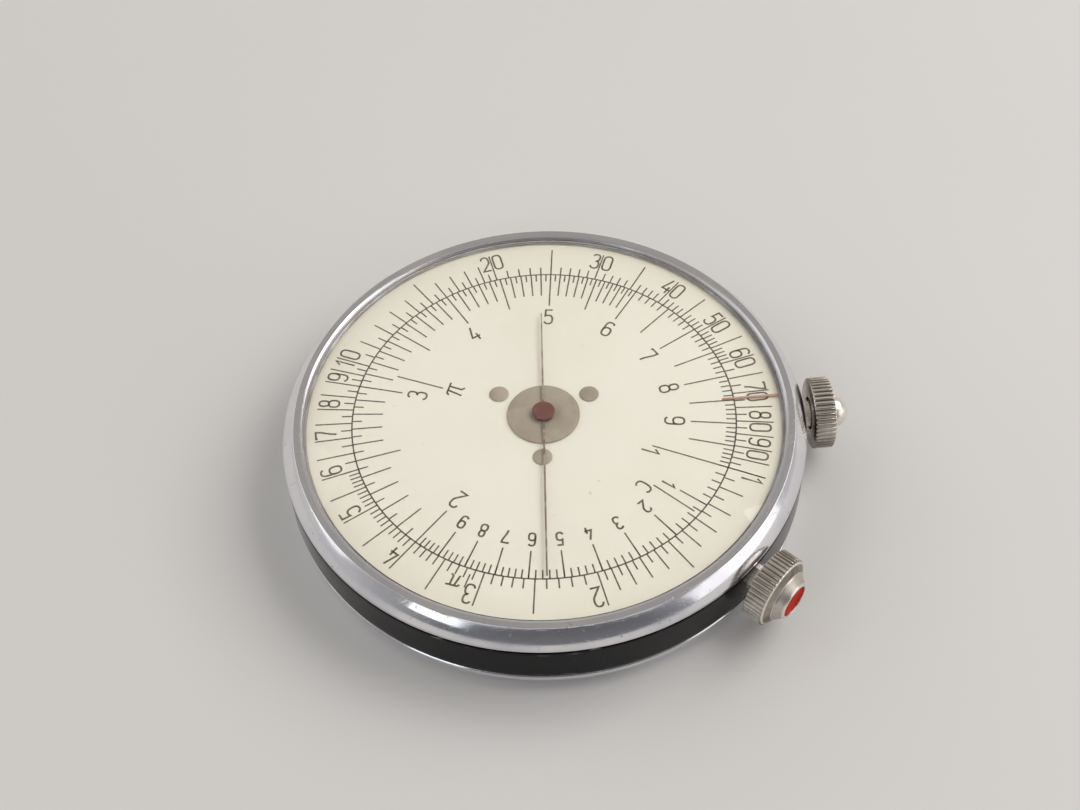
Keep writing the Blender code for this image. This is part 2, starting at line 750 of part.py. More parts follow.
def make_wheel(name, radius, teeth, azimuth, side, boss, boss_height, bore):
    """Wheel with face teeth, cut from a turned blank that has one facet to a tooth."""
    inner = radius - TOOTH_FACE / 2
    outer = radius + TOOTH_FACE / 2
    outline = [
        (0, web_front_height),
        (outer, web_front_height),
        (outer, tooth_tip_height),
        (inner, tooth_tip_height),
        (inner, web_back_height),
        (0, web_back_height),
    ]
    wheel = turned(name, outline, parts, side, teeth, azimuth + 180 / teeth)
    low = web_back_height if boss is None else boss_height

    def spaces(bm):
        tooth_spaces(bm, radius, teeth, side)

    def hole(bm):
        ends = sorted((side * (low - CUT_OVERRUN), side * (web_front_height + CUT_OVERRUN)))
        add_rod(bm, bore, *ends, steps=SMALL_STEPS)

    def boss_rod(bm):
        ends = sorted((side * boss_height, side * (web_back_height + web_front_height) / 2))
        add_rod(bm, boss, *ends, steps=SMALL_STEPS)

    cut(wheel, plain_cutter(name + "_spaces", spaces, azimuth))
    if boss is not None:
        cut(wheel, plain_cutter(name + "_boss", boss_rod), "UNION")
    cut(wheel, plain_cutter(name + "_hole", hole))
    return wheel


def make_wheels():
    dial_wheel = make_wheel("dial_wheel", dial_wheel_radius, DIAL_WHEEL_TEETH, DIAL_KNOB_AZIMUTH, FRONT,
                            None, None, hub_pipe_radius + FIT_GAP)

    def holes(bm):
        for place in circle_places(RIVET_CIRCLE_RADIUS, RIVET_AZIMUTH, DIAL_RIVETS):
            add_rod(bm, RIVET_SHANK_RADIUS + FIT_GAP, web_back_height - CUT_OVERRUN,
                    web_front_height + CUT_OVERRUN, place)

    cut(dial_wheel, plain_cutter("wheel_rivet_holes", holes))
    finished(dial_wheel, brass())
    hand_wheel = make_wheel("hand_wheel", hand_wheel_radius, HAND_WHEEL_TEETH, HAND_KNOB_AZIMUTH, REAR,
                            HAND_WHEEL_BOSS_RADIUS, hand_boss_height, ARBOR_RADIUS + FIT_GAP)
    finished(hand_wheel, brass())


def make_arbor():
    outline = [(0, arbor_height), (ARBOR_RADIUS, arbor_height), (ARBOR_RADIUS, -arbor_height),
               (0, -arbor_height)]
    finished(turned("hand_arbor", outline, parts, steps=SMALL_STEPS), steel())


def flat_piece(name, outlines, low, high, collection, azimuth=0.0, along_knob=False):
    """Extrude closed flat outlines between two heights; inner outlines are holes."""
    curve = bpy.data.curves.new(name, "CURVE")
    curve.dimensions = "2D"
    curve.fill_mode = "BOTH"
    curve.extrude = (high - low) / 2
    for outline in outlines:
        spline = curve.splines.new("POLY")
        spline.points.add(len(outline) - 1)
        for point, (x, y) in zip(spline.points, outline):
            point.co = (x, y, 0, 1)
        spline.use_cyclic_u = True
    guide = bpy.data.objects.new(name + "_outline", curve)
    cutters.objects.link(guide)
    bpy.context.view_layer.update()
    graph = bpy.context.evaluated_depsgraph_get()
    mesh = bpy.data.meshes.new_from_object(guide.evaluated_get(graph))
    bpy.data.objects.remove(guide, do_unlink=True)
    bm = bmesh.new()
    bm.from_mesh(mesh)
    bmesh.ops.remove_doubles(bm, verts=bm.verts, dist=MERGE_DISTANCE)
    bmesh.ops.translate(bm, verts=bm.verts, vec=Vector((0, 0, (low + high) / 2)))
    bmesh.ops.recalc_face_normals(bm, faces=bm.faces)
    bm.to_mesh(mesh)
    bm.free()
    return placed(bpy.data.objects.new(name, mesh), collection, azimuth, along_knob)


def circle_outline(radius, steps, start=0.0, end=2 * math.pi, closed=True):
    count = steps if closed else steps + 1
    angles = [start + (end - start) * i / steps for i in range(count)]
    return [(radius * math.cos(a), radius * math.sin(a)) for a in angles]


def hand_outline():
    """Slim hand along +X: a round boss, a long tapered end and a slimmer tail."""
    half = HAND_ROOT_WIDTH / 2
    blend = math.asin(half / HAND_BOSS_RADIUS)
    arc = HUB_STEPS // 4
    outline = [(HAND_LENGTH, -HAND_TIP_WIDTH / 2), (HAND_LENGTH, HAND_TIP_WIDTH / 2)]
    outline += circle_outline(HAND_BOSS_RADIUS, arc, blend, math.pi - blend, closed=False)
    outline += [(-HAND_TAIL_LENGTH, HAND_TAIL_TIP_WIDTH / 2), (-HAND_TAIL_LENGTH, -HAND_TAIL_TIP_WIDTH / 2)]
    outline += circle_outline(HAND_BOSS_RADIUS, arc, math.pi + blend, 2 * math.pi - blend, closed=False)
    return outline


def make_hands():
    bore = circle_outline(ARBOR_RADIUS + FIT_GAP, SMALL_STEPS)
    top = hand_height + HAND_THICKNESS
    for name, low, high in (("front_hand", hand_height, top), ("rear_hand", -top, -hand_height)):
        finished(flat_piece(name, [hand_outline(), bore], low, high, parts, HAND_AZIMUTH), hand_paint())


def make_caps():
    """Small red cap over each end of the arbor, blind on the outside."""
    bore = ARBOR_RADIUS + FIT_GAP
    edge = CAP_HEIGHT - CAP_CROWN
    dome = quarter_arc((0, cap_height + CAP_CROWN), CAP_RADIUS, edge, DOME_STEPS)
    outline = [*dome, (CAP_RADIUS, cap_height), (bore, cap_height), (bore, arbor_height + FIT_GAP / 2),
               (0, arbor_height + FIT_GAP / 2)]
    finished(turned("front_hand_cap", outline, parts, FRONT, SMALL_STEPS), red_paint())
    finished(turned("rear_hand_cap", outline, parts, REAR, SMALL_STEPS), red_paint())


def make_index():
    """Red strip: a foot clamped under the bezel, a riser and a blade over the dial."""
    riser = dial_radius + INDEX_RISER_GAP
    foot_end = neck_radius - FIT_GAP
    foot_low = neck_height + FIT_GAP
    foot_high = foot_low + INDEX_THICKNESS
    blade_high = index_height + INDEX_THICKNESS
    side_view = [
        (index_tip_radius, index_height),
        (riser, index_height),
        (riser, foot_low),
        (foot_end, foot_low),
        (foot_end, foot_high),
        (riser + INDEX_THICKNESS, foot_high),
        (riser + INDEX_THICKNESS, blade_high),
        (index_tip_radius, blade_high),
    ]
    index = flat_piece("dial_index", [side_view], -INDEX_WIDTH / 2, INDEX_WIDTH / 2, parts)
    bm = bmesh.new()
    bm.from_mesh(index.data)
    stand_up = Matrix.Rotation(math.pi / 2, 4, "X")
    bmesh.ops.transform(bm, matrix=stand_up, verts=bm.verts)
    for vert in bm.verts:
        if vert.co.x < index_tip_radius + MERGE_DISTANCE:
            vert.co.y *= INDEX_TIP_WIDTH / INDEX_WIDTH
    bm.to_mesh(index.data)
    bm.free()
    index.rotation_euler = (0, 0, math.radians(INDEX_AZIMUTH))
    finished(index, red_paint())


def cone_nose():
    """Points of the hand knob's nose, from its base to its tip."""
    return [(CONE_BASE_RADIUS, knurl_end + CONE_BASE_RISE), (CONE_TIP_RADIUS, knurl_end + CONE_LENGTH)]


def ball_nose():
    """Points of the dial knob's nose, from the knob's face to the flat on the ball."""
    centre = knurl_end + BALL_RISE
    first = -math.asin(BALL_RISE / BALL_RADIUS)
    last = math.acos(BALL_TIP_RADIUS / BALL_RADIUS)
    angles = [first + (last - first) * i / BALL_STEPS for i in range(BALL_STEPS + 1)]
    return [(BALL_RADIUS * math.cos(a), centre + BALL_RADIUS * math.sin(a)) for a in angles]


def knob_outline(nose, dot_radius):
    """Half section of a knob along its axis, as (radius, distance) points."""
    tip = nose[-1][1]
    recess_floor = tip - DOT_DEPTH - DOT_THICKNESS - FIT_GAP
    return [
        (0, recess_floor),
        (dot_radius + FIT_GAP, recess_floor),
        (dot_radius + FIT_GAP, tip),
        *reversed(nose),
        (knob_face_radius, knurl_end),
        (KNOB_RADIUS, knurl_end - KNURL_FRONT_CHAMFER),
        (KNOB_RADIUS, knob_back + KNURL_BACK_CHAMFER),
        (knob_face_radius, knob_back),
        (0, knob_back),
    ]


def knurl_grooves(bm):
    """Add a bar set on edge for each groove of the knurl, along the knob's axis."""
    pitch = 2 * math.pi * KNOB_RADIUS / KNURL_COUNT
    floor = KNOB_RADIUS - KNURL_DEPTH
    half_width = KNURL_MOUTH_SHARE * pitch / 2
    half_angle = math.pi / KNURL_COUNT
    low = knob_back - CUT_OVERRUN
    high = knurl_end
    for i in range(KNURL_COUNT):
        turn = Matrix.Rotation(2 * math.pi * i / KNURL_COUNT + half_angle, 4, "Z")
        lift = Matrix.Translation((KNOB_RADIUS, 0, (low + high) / 2))
        size = Matrix.Diagonal((KNOB_RADIUS - floor, half_width, 1, 1))
        bmesh.ops.create_cone(bm, cap_ends=True, segments=4, radius1=1, radius2=1,
                              depth=high - low, matrix=turn @ lift @ size)


def pinion_outline():
    """Toothed outline of a pinion, with a tooth on the local X axis."""
    base = pinion_radius * math.cos(math.radians(PRESSURE_ANGLE))

    def involute(radius):
        angle = math.acos(min(1.0, base / radius))
        return math.tan(angle) - angle

    half_tooth = TOOTH_SHARE * tooth_pitch / 2 / pinion_radius + involute(pinion_radius)
    radii = [pinion_root_radius, base, pinion_radius, pinion_tip_radius]
    halves = [(radius, half_tooth - involute(max(radius, base))) for radius in radii]
    outline = []
    for i in range(PINION_TEETH):
        centre = 2 * math.pi * i / PINION_TEETH
        for radius, half in halves:
            outline.append((radius * math.cos(centre - half), radius * math.sin(centre - half)))
        for radius, half in reversed(halves):
            outline.append((radius * math.cos(centre + half), radius * math.sin(centre + half)))
    return outline


def make_knob_set(prefix, azimuth, wheel_radius, nose, dot_radius, dot_surface):
    """One knob with its dot, stem, pinion, clip and tube."""
    outline = knob_outline(nose, dot_radius)
    knob = turned(prefix + "_knob", outline, parts, FRONT, KNURL_COUNT, azimuth, True)
    grooves = plain_cutter(prefix + "_knurl", knurl_grooves)
    grooves.rotation_euler = knob.rotation_euler
    cut(knob, grooves)

    def tube_recess(bm):
        add_radial_rod(bm, tube_radius + TUBE_RECESS_GAP, knob_back - CUT_OVERRUN,
                       knob_back + TUBE_RECESS_DEPTH, azimuth)

    def stem_socket(bm):
        add_radial_rod(bm, STEM_RADIUS + FIT_GAP, knob_back - CUT_OVERRUN,
                       knob_back + STEM_SOCKET_DEPTH, azimuth)

    cut(knob, plain_cutter(prefix + "_tube_recess", tube_recess))
    cut(knob, plain_cutter(prefix + "_stem_socket", stem_socket))
    finished(knob, nickel())

    face = nose[-1][1] - DOT_DEPTH
    dot = [(0, face), (dot_radius, face), (dot_radius, face - DOT_THICKNESS), (0, face - DOT_THICKNESS)]
    finished(turned(prefix + "_knob_dot", dot, parts, FRONT, SMALL_STEPS, azimuth, True), dot_surface)

    pinion_low = wheel_radius - PINION_LENGTH / 2
    pinion_high = wheel_radius + PINION_LENGTH / 2
    pivot_end = pinion_low - WINDOW_GAP - PIVOT_LENGTH
    stem = [
        (0, stem_end),
        (STEM_RADIUS, stem_end),
        (STEM_RADIUS, pinion_low),
        (PIVOT_RADIUS, pinion_low),
        (PIVOT_RADIUS, pivot_end),
        (0, pivot_end),
    ]
    finished(turned(prefix + "_stem", stem, parts, FRONT, SMALL_STEPS, azimuth, True), steel())

    bore = circle_outline(STEM_RADIUS + FIT_GAP, SMALL_STEPS)
    pinion = flat_piece(prefix + "_pinion", [pinion_outline(), bore], pinion_low, pinion_high, parts,
                        azimuth, True)
    finished(pinion, brass())

    clip = ring(prefix + "_stem_clip", STEM_RADIUS + FIT_GAP, clip_radius,
                clip_outer_end - CLIP_THICKNESS, clip_outer_end, parts, azimuth=azimuth, along_knob=True)

    def mouth(bm):
        add_radial_box(bm, clip_outer_end - CLIP_THICKNESS - CUT_OVERRUN, clip_outer_end + CUT_OVERRUN,
                       CLIP_MOUTH, 0, clip_radius + CUT_OVERRUN, azimuth)

    cut(clip, plain_cutter(prefix + "_clip_mouth", mouth))
    finished(clip, steel())
    make_tube(prefix + "_knob_tube", azimuth)


def main():
    clear_scene()
    for collection in (parts, cutters):
        bpy.context.scene.collection.children.link(collection)
    make_band()
    make_bezels()
    make_crystals()
    make_plate()
    make_screws()
    make_bush()
    make_washers()
    make_front_dial()
    make_rear_dial()
    make_hub()
    make_rivets()
    make_wheels()
    make_arbor()
    make_hands()
    make_caps()
    make_index()
    make_knob_set("dial", DIAL_KNOB_AZIMUTH, dial_wheel_radius, ball_nose(), BALL_DOT_RADIUS,
                  black_paint())
    make_knob_set("hand", HAND_KNOB_AZIMUTH, hand_wheel_radius, cone_nose(), CONE_DOT_RADIUS, red_paint())


main()
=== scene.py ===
"""Looks of the pocket circular slide rule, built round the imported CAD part."""

import json
import math

import bpy
from mathutils import Matrix, Vector


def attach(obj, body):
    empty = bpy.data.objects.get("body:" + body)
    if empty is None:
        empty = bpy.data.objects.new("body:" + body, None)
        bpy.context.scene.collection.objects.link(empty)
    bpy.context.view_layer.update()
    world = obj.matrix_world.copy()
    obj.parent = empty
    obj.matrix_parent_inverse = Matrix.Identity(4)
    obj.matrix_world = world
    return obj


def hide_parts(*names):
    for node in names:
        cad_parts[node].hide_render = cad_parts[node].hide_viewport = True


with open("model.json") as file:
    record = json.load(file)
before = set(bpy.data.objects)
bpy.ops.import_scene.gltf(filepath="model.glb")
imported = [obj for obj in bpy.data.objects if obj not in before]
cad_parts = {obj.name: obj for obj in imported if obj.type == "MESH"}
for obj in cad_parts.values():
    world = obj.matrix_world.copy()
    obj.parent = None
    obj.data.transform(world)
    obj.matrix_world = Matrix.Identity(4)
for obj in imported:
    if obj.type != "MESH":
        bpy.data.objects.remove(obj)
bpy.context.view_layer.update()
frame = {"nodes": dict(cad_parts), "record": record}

MM = 0.001

# Case, in millimetres: radii from the dial axis, heights above the floor
MIDDLE = 5.0
DIAL_FACE = 8.4
CRYSTAL_FACE = 10.0
CRYSTAL_BACK = 9.3
CASE_RADIUS = 26.0
CREST_OUTER = 24.37
CREST_INNER = 24.25
SEAT_RADIUS = 23.9
LIP_RADIUS = 23.5
FRONT_SEAT = 23.75
FRONT_CREST = 9.4
SKIRT_RADIUS = 24.65
FLANK_DROP = 2.25
FLANK_BOW = 0.10
FRONT_FLANK_REACH = 1.27
FRONT_FLANK_DROP = 1.75
FRONT_FLANK_BOW = 0.12
FLANK_STEPS = 16
BOW_OUTWARD = 0.81
BOW_UPWARD = 0.59
SKIRT_TOP = 8.5
LIP_TOP = 8.65
REAR_LIP_TOP = 9.2
COVER_GAP = 0.1
COVER_SAG = 1.0
COVER_BACK_SAG = 0.55
COVER_STEPS = 24
GRIME_REACH = 0.30
GRIME_FLOOR = 8.49
GRIME_TOP = 9.08
SEAM = 7.2
BAND_TOP = 7.1
NECK_TOP = 7.77
NECK_RADIUS = 24.6
NECK_INNER = 22.65
LEDGE_INNER = 20.95
LEDGE_TOP = 4.2

# Round the arbor
HUB_FACE = 8.6
HUB_RADIUS = 3.6
HUB_PIPE = 1.8
HUB_BORE = 1.0
HUB_BASE = 6.27
HUB_UNDERSIDE = 8.45
RIVET_CIRCLE = 5.2
RIVET_RADIUS = 0.97
RIVET_AZIMUTH = 27.0
RIVET_DOME = 0.18
RIVET_SHANK = 0.5
RIVET_FOOT_TOP = 7.37
RIVET_FOOT = 7.19
CAP_BASE = 8.93
CAP_RADIUS = 1.12
CAP_WALL = 0.17
CAP_DOME = 0.10
CAP_BORE = 0.55
CAP_BORE_DEPTH = 0.145
DOME_STEPS = 10

# Knobs: distances along the knob's axis from the dial axis
KNOB_AZIMUTHS = {"dial": 3.3, "hand": -42.2}
KNOB_RADIUS = 3.6
KNOB_BACK = 26.95
KNURL_END = 29.1
RIDGES = 44
STEPS_PER_RIDGE = 10
GROOVE_DEPTH = 0.22
GROOVE_SHARE = 0.84
GROOVE_POWER = 4.0
KNOB_CHAMFER = 0.30
KNURL_BACK_CHAMFER = 0.14
KNURL_END_CHAMFER = 0.20
KNOB_BORE = 0.75
KNOB_BORE_DEPTH = 2.55
KNOB_RECESS = 1.70
KNOB_RECESS_DEPTH = 0.70
SMOOTH_RADIUS = 3.25
BALL_RADIUS = 1.65
BALL_TIP = 0.72
DOT_SINK = 0.14
DOT_THICKNESS = 0.22
DOT_CLEARANCE = 0.05

# Scales on the dials
ONE_AZIMUTH = -22.705
SCALE_RADIUS = 19.0
REAR_SCALE_RADIUS = 20.4
GAUGE_MARK = 1.128
LINE_WIDTH = 0.15
FIGURE_WIDTH = 0.20
INK_RISE = 0.006
INK_SINK = 0.02
LINE_END = 0.15
UNIT_RADIUS = 21.55
INNER_INSET = 6.05
TENTH_INSET = 4.28
REAR_INSET = 3.5
ANGLE_INSET = 2.35

# Height and width of the printed figures
INNER_FIGURE = (1.90, 0.86)
TENTH_FIGURE = (1.38, 0.62)
UNIT_FIGURE = (2.02, 0.84)
DECADE_FIGURE = (2.04, 0.84)
ZERO_FIGURE = (2.04, 0.88)
REAR_FIGURE = (1.7, 0.8)
ANGLE_FIGURE = (1.15, 0.5)
ANGLE_GAP = 0.22

FINE_STEPS = 220
SMALL_STEPS = 64


class Finish:
    """A procedural material: a shader whose inputs are driven by textures."""

    def __init__(self, name, colour, roughness, metallic=0.0, **sockets):
        self.material = bpy.data.materials.new(name)
        self.material.use_nodes = True
        self.tree = self.material.node_tree
        self.shader = self.tree.nodes["Principled BSDF"]
        self.shader.inputs["Base Color"].default_value = (*colour, 1)
        self.shader.inputs["Roughness"].default_value = roughness
        self.shader.inputs["Metallic"].default_value = metallic
        for socket, value in sockets.items():
            self.shader.inputs[socket.replace("_", " ")].default_value = value
        self.place = self.tree.nodes.new("ShaderNodeTexCoord").outputs["Object"]

    def node(self, kind, inputs=(), **settings):
        made = self.tree.nodes.new("ShaderNode" + kind)
        for key, value in settings.items():
            setattr(made, key, value)
        for key, value in dict(inputs).items():
            self.feed(made.inputs[key], value)
        return made

    def feed(self, socket, value):
        if isinstance(value, bpy.types.NodeSocket):
            self.tree.links.new(value, socket)
        else:
            socket.default_value = value

    def noise(self, scale, detail=3.0, stretch=(1, 1, 1), distortion=0.0):
        scaled = self.node("Mapping", {"Vector": self.place, "Scale": stretch}).outputs["Vector"]
        inputs = {"Vector": scaled, "Scale": scale, "Detail": detail, "Distortion": distortion}
        return self.node("TexNoise", inputs).outputs["Fac"]

    def split_place(self):
        """The coordinates of the place, and its distance from local Z."""
        split = self.node("SeparateXYZ", {"Vector": self.place}).outputs
        squares = [self.maths("MULTIPLY", split[axis], split[axis]) for axis in "XY"]
        return split, self.maths("SQRT", self.maths("ADD", *squares))

    def polar_noise(self, radial_scale, turns_scale, detail=3.0):
        """Noise that is drawn out round local Z, as marks of a lathe are."""
        split, radius = self.split_place()
        angle = self.maths("ARCTAN2", split["Y"], split["X"])
        joined = self.node("CombineXYZ", {"X": self.maths("MULTIPLY", radius, radial_scale),
                                          "Y": self.maths("MULTIPLY", angle, turns_scale),
                                          "Z": self.maths("MULTIPLY", split["Z"], radial_scale)})
        return self.node("TexNoise", {"Vector": joined.outputs["Vector"], "Scale": 1.0,
                                      "Detail": detail}).outputs["Fac"]

    def maths(self, operation, first, second=0.0):
        made = self.node("Math", operation=operation)
        self.feed(made.inputs[0], first)
        self.feed(made.inputs[1], second)
        return made.outputs[0]

    def remap(self, value, low, high, to_low, to_high):
        return self.node("MapRange", {"Value": value, "From Min": low, "From Max": high,
                                      "To Min": to_low, "To Max": to_high}).outputs["Result"]

    def blend(self, share, first, second):
        """Mix two colours; each is a colour or a socket."""
        made = self.node("Mix", data_type="RGBA")
        self.feed(made.inputs[0], share)
        for socket, value in ((made.inputs[6], first), (made.inputs[7], second)):
            self.feed(socket, value if isinstance(value, bpy.types.NodeSocket) else (*value, 1))
        return made.outputs[2]

    def mottled(self, noise, first, second):
        """Mix two colours by the middle of a noise's range."""
        return self.blend(self.remap(noise, 0.3, 0.7, 0.0, 1.0), first, second)

    def attribute(self, name):
        return self.node("Attribute", attribute_name=name).outputs["Fac"]

    def drive(self, socket, value):
        self.feed(self.shader.inputs[socket], value)

    def bump(self, height, distance, strength=1.0):
        inputs = {"Height": height, "Distance": distance, "Strength": strength}
        if self.shader.inputs["Normal"].is_linked:
            inputs["Normal"] = self.shader.inputs["Normal"].links[0].from_socket
        self.drive("Normal", self.node("Bump", inputs).outputs["Normal"])


def make_chrome():
    """Polished plate of the bezels, with haze, small pits and hairline scratches."""
    m = Finish("worn_chrome", (0.80, 0.80, 0.80), 0.10, 1.0)
    haze = m.noise(170, 5)
    fine = m.noise(2300, 2)
    hairlines = m.noise(900, 2, (1, 9, 1), 1.5)
    pits = m.remap(m.noise(1500, 3), 0.66, 0.74, 0.0, 1.0)
    tone = m.mottled(haze, (0.85, 0.84, 0.86), (0.69, 0.69, 0.75))
    tone = m.blend(m.maths("MULTIPLY", pits, 0.55), tone, (0.30, 0.27, 0.24))
    grime = m.maths("MULTIPLY", m.attribute("grime"),
                    m.remap(m.noise(260, 3), 0.30, 0.60, 0.35, 0.60))
    m.drive("Base Color", m.blend(grime, tone, (0.13, 0.10, 0.06)))
    smooth = m.remap(haze, 0.35, 0.70, 0.08, 0.21)
    rough = m.maths("ADD", m.maths("MULTIPLY", pits, 0.3), m.maths("MULTIPLY", grime, 0.9))
    m.drive("Roughness", m.maths("ADD", smooth, rough))
    m.bump(m.remap(hairlines, 0.60, 0.70, 0.0, 1.0), 0.000004, 0.35)
    m.bump(m.maths("SUBTRACT", m.maths("MULTIPLY", fine, 0.12), pits), 0.000006, 0.6)
    return m.material


def make_black_plate():
    """Dark glossy wall of the case, with faint rubbing along its edges; the near-black tone is the
    plating's colour with a painted dark reflection, and the rubbing is also a painted highlight.
    """
    m = Finish("black_plate_with_painted_reflection", (0.03, 0.03, 0.034), 0.18, 1.0)
    haze = m.noise(140, 5)
    rub = m.noise(450, 4, (1, 1, 5))
    # Light rubbed edges: wear, and a painted highlight along the band's top and bottom edges.
    worn = m.maths("MULTIPLY", m.attribute("edge_wear_and_highlight"), m.remap(rub, 0.60, 0.74, 0.0, 0.8))
    # Near-black tone: the plating's dark colour, pushed darker as a painted dark reflection.
    tone = m.mottled(haze, (0.006, 0.006, 0.007), (0.013, 0.013, 0.014))
    m.drive("Base Color", m.blend(worn, tone, (0.55, 0.54, 0.52)))
    m.drive("Roughness", m.remap(haze, 0.30, 0.70, 0.12, 0.30))
    m.bump(m.noise(1800, 3), 0.000004, 0.4)
    return m.material


def make_nickel():
    """Satin nickel of the knobs, with grime down in the grooves and painted shade on the groove
    walls, in the corner of the nose and on the hand knob's cone.
    """
    m = Finish("satin_nickel", (0.66, 0.61, 0.55), 0.30, 1.0)
    turning = m.polar_noise(9000, 2.0, 2)
    cloud = m.noise(420, 4)
    # The knob's groove attribute holds grime in the grooves and painted shade on the groove walls,
    # the nose's corner and the hand knob's cone.
    grime = m.maths("MULTIPLY", m.attribute("groove"), m.remap(cloud, 0.25, 0.60, 0.55, 1.0))
    tone = m.mottled(cloud, (0.90, 0.85, 0.78), (0.78, 0.72, 0.64))
    m.drive("Base Color", m.blend(grime, tone, (0.085, 0.065, 0.045)))
    m.drive("Roughness", m.maths("ADD", m.remap(turning, 0.3, 0.7, 0.20, 0.34),
                                 m.maths("MULTIPLY", grime, 0.25)))
    m.bump(turning, 0.000006, 0.35)
    m.bump(m.noise(5200, 2), 0.000005, 0.3)
    return m.material


def make_dial_paint():
    """Ivory lacquer: slight yellowing towards the rim, cloudy tone and dust specks."""
    m = Finish("ivory_lacquer", (0.84, 0.81, 0.70), 0.5, 0.0, Specular_IOR_Level=0.4)
    rim = m.remap(m.split_place()[1], 0.0195, 0.0237, 0.0, 0.50)
    cloud = m.remap(m.noise(75, 4), 0.35, 0.68, 0.0, 1.0)
    specks = m.remap(m.noise(1300, 2), 0.745, 0.775, 0.0, 1.0)
    tone = m.blend(cloud, (0.850, 0.828, 0.730), (0.815, 0.787, 0.680))
    tone = m.blend(rim, tone, (0.760, 0.715, 0.580))
    m.drive("Base Color", m.blend(m.maths("MULTIPLY", specks, 0.5), tone, (0.42, 0.36, 0.27)))
    m.drive("Roughness", m.remap(m.noise(260, 3), 0.3, 0.7, 0.42, 0.60))
    m.bump(m.noise(2600, 3), 0.000005, 0.3)
    return m.material


def make_ink():
    """Printing ink, thinner in places so that a little of the lacquer shows."""
    m = Finish("scale_ink", (0.075, 0.056, 0.038), 0.6)
    thin = m.remap(m.noise(2400, 4), 0.46, 0.70, 0.0, 0.55)
    m.drive("Base Color", m.blend(thin, (0.082, 0.060, 0.038), (0.33, 0.27, 0.19)))
    m.drive("Roughness", m.remap(thin, 0.0, 0.5, 0.55, 0.75))
    m.bump(m.noise(6000, 2), 0.000003, 0.4)
    return m.material


def make_hub_metal():
    """Dull grey-beige metal of the hub and rivets, turned and a little stained."""
    m = Finish("hub_metal", (0.40, 0.35, 0.28), 0.55, 0.35)
    turning = m.polar_noise(7000, 1.5, 2)
    stain = m.remap(m.noise(520, 4), 0.32, 0.68, 0.0, 1.0)
    m.drive("Base Color", m.blend(stain, (0.345, 0.290, 0.225), (0.445, 0.385, 0.305)))
    m.drive("Roughness", m.remap(turning, 0.3, 0.7, 0.45, 0.65))
    m.bump(turning, 0.000008, 0.5)
    return m.material


def make_enamel(name, light, dark):
    """Enamel with a soft sink in its surface, gone a little dull in spots."""
    m = Finish(name, light, 0.5, 0.0, Specular_IOR_Level=0.08)
    cloud = m.noise(900, 3)
    m.drive("Base Color", m.mottled(cloud, light, dark))
    m.drive("Roughness", m.remap(cloud, 0.3, 0.7, 0.45, 0.65))
    m.bump(m.noise(1400, 2), 0.000010, 0.4)
    return m.material


def make_hand_lacquer():
    """Dark lacquer of the hands, worn through in spots and more so along the tail."""
    m = Finish("hand_lacquer", (0.18, 0.13, 0.11), 0.4)
    along = m.node("SeparateXYZ", {"Vector": m.place}).outputs["Y"]
    tail = m.remap(along, 0.0010, 0.0040, 0.0, 0.13)
    worn = m.remap(m.maths("ADD", m.noise(1500, 4), tail), 0.50, 0.66, 0.0, 0.8)
    m.drive("Base Color", m.blend(worn, (0.185, 0.130, 0.110), (0.42, 0.37, 0.29)))
    m.drive("Roughness", m.remap(worn, 0.0, 0.6, 0.35, 0.55))
    m.bump(m.noise(4000, 2), 0.000004, 0.4)
    return m.material


def make_plain_metal(name, light, dark, roughness):
    """Turned metal of the pieces inside the case."""
    m = Finish(name, light, roughness, 1.0)
    cloud = m.noise(300, 4)
    turning = m.polar_noise(6000, 1.5, 2)
    m.drive("Base Color", m.mottled(cloud, light, dark))
    m.drive("Roughness", m.remap(turning, 0.3, 0.7, roughness - 0.08, roughness + 0.10))
    m.bump(turning, 0.000006, 0.4)
    return m.material


def make_clear_plastic():
    """Clear cover with faint haze and fine scratches."""
    m = Finish("clear_cover", (0.985, 0.985, 0.975), 0.02, 0.0, Transmission_Weight=1.0, IOR=1.49)
    haze = m.noise(120, 4)
    scratches = m.noise(650, 2, (1, 14, 1), 2.0)
    m.drive("Roughness", m.remap(haze, 0.35, 0.75, 0.004, 0.03))
    m.bump(m.remap(scratches, 0.58, 0.80, 0.0, 1.0), 0.000001, 0.12)
    return m.material


def make_floor_paint():
    """Matt pale floor with a slow change of tone."""
    m = Finish("pale_floor", (0.80, 0.79, 0.78), 0.7, 0.0, Specular_IOR_Level=0.25)
    m.drive("Base Color", m.mottled(m.noise(9, 3), (0.80, 0.79, 0.775), (0.775, 0.765, 0.755)))
    m.bump(m.noise(900, 2), 0.00001, 0.2)
    return m.material


def link_object(name, verts, faces, material, smooth_angle=32.0, attributes=None):
    """Make an object from points in millimetres."""
    mesh = bpy.data.meshes.new(name)
    mesh.from_pydata([(x * MM, y * MM, z * MM) for x, y, z in verts], [], faces)
    mesh.validate()
    for key, values in (attributes or {}).items():
        mesh.attributes.new(key, "FLOAT", "POINT").data.foreach_set("value", values)
    mesh.materials.append(material)
    mesh.shade_smooth()
    mesh.set_sharp_from_angle(angle=math.radians(smooth_angle))
    obj = bpy.data.objects.new(name, mesh)
    bpy.context.scene.collection.objects.link(obj)
    return obj


def rounded(corners, steps=4):
    """Round the corners of a closed outline; a corner is (radius, height, fillet)."""
    points = []
    count = len(corners)
    for i, (x, y, fillet) in enumerate(corners):
        here = Vector((x, y))
        if not fillet:
            points.append((x, y))
            continue
        before = Vector(corners[i - 1][:2]) - here
        after = Vector(corners[(i + 1) % count][:2]) - here
        half = before.angle(after) / 2
        back = min(fillet / math.tan(half), 0.45 * before.length, 0.45 * after.length)
        start = here + before.normalized() * back
        end = here + after.normalized() * back
        for k in range(steps + 1):
            t = k / steps
            bend = (1 - t) * (1 - t) * start + 2 * t * (1 - t) * here + t * t * end
            points.append((bend.x, bend.y))
    return points


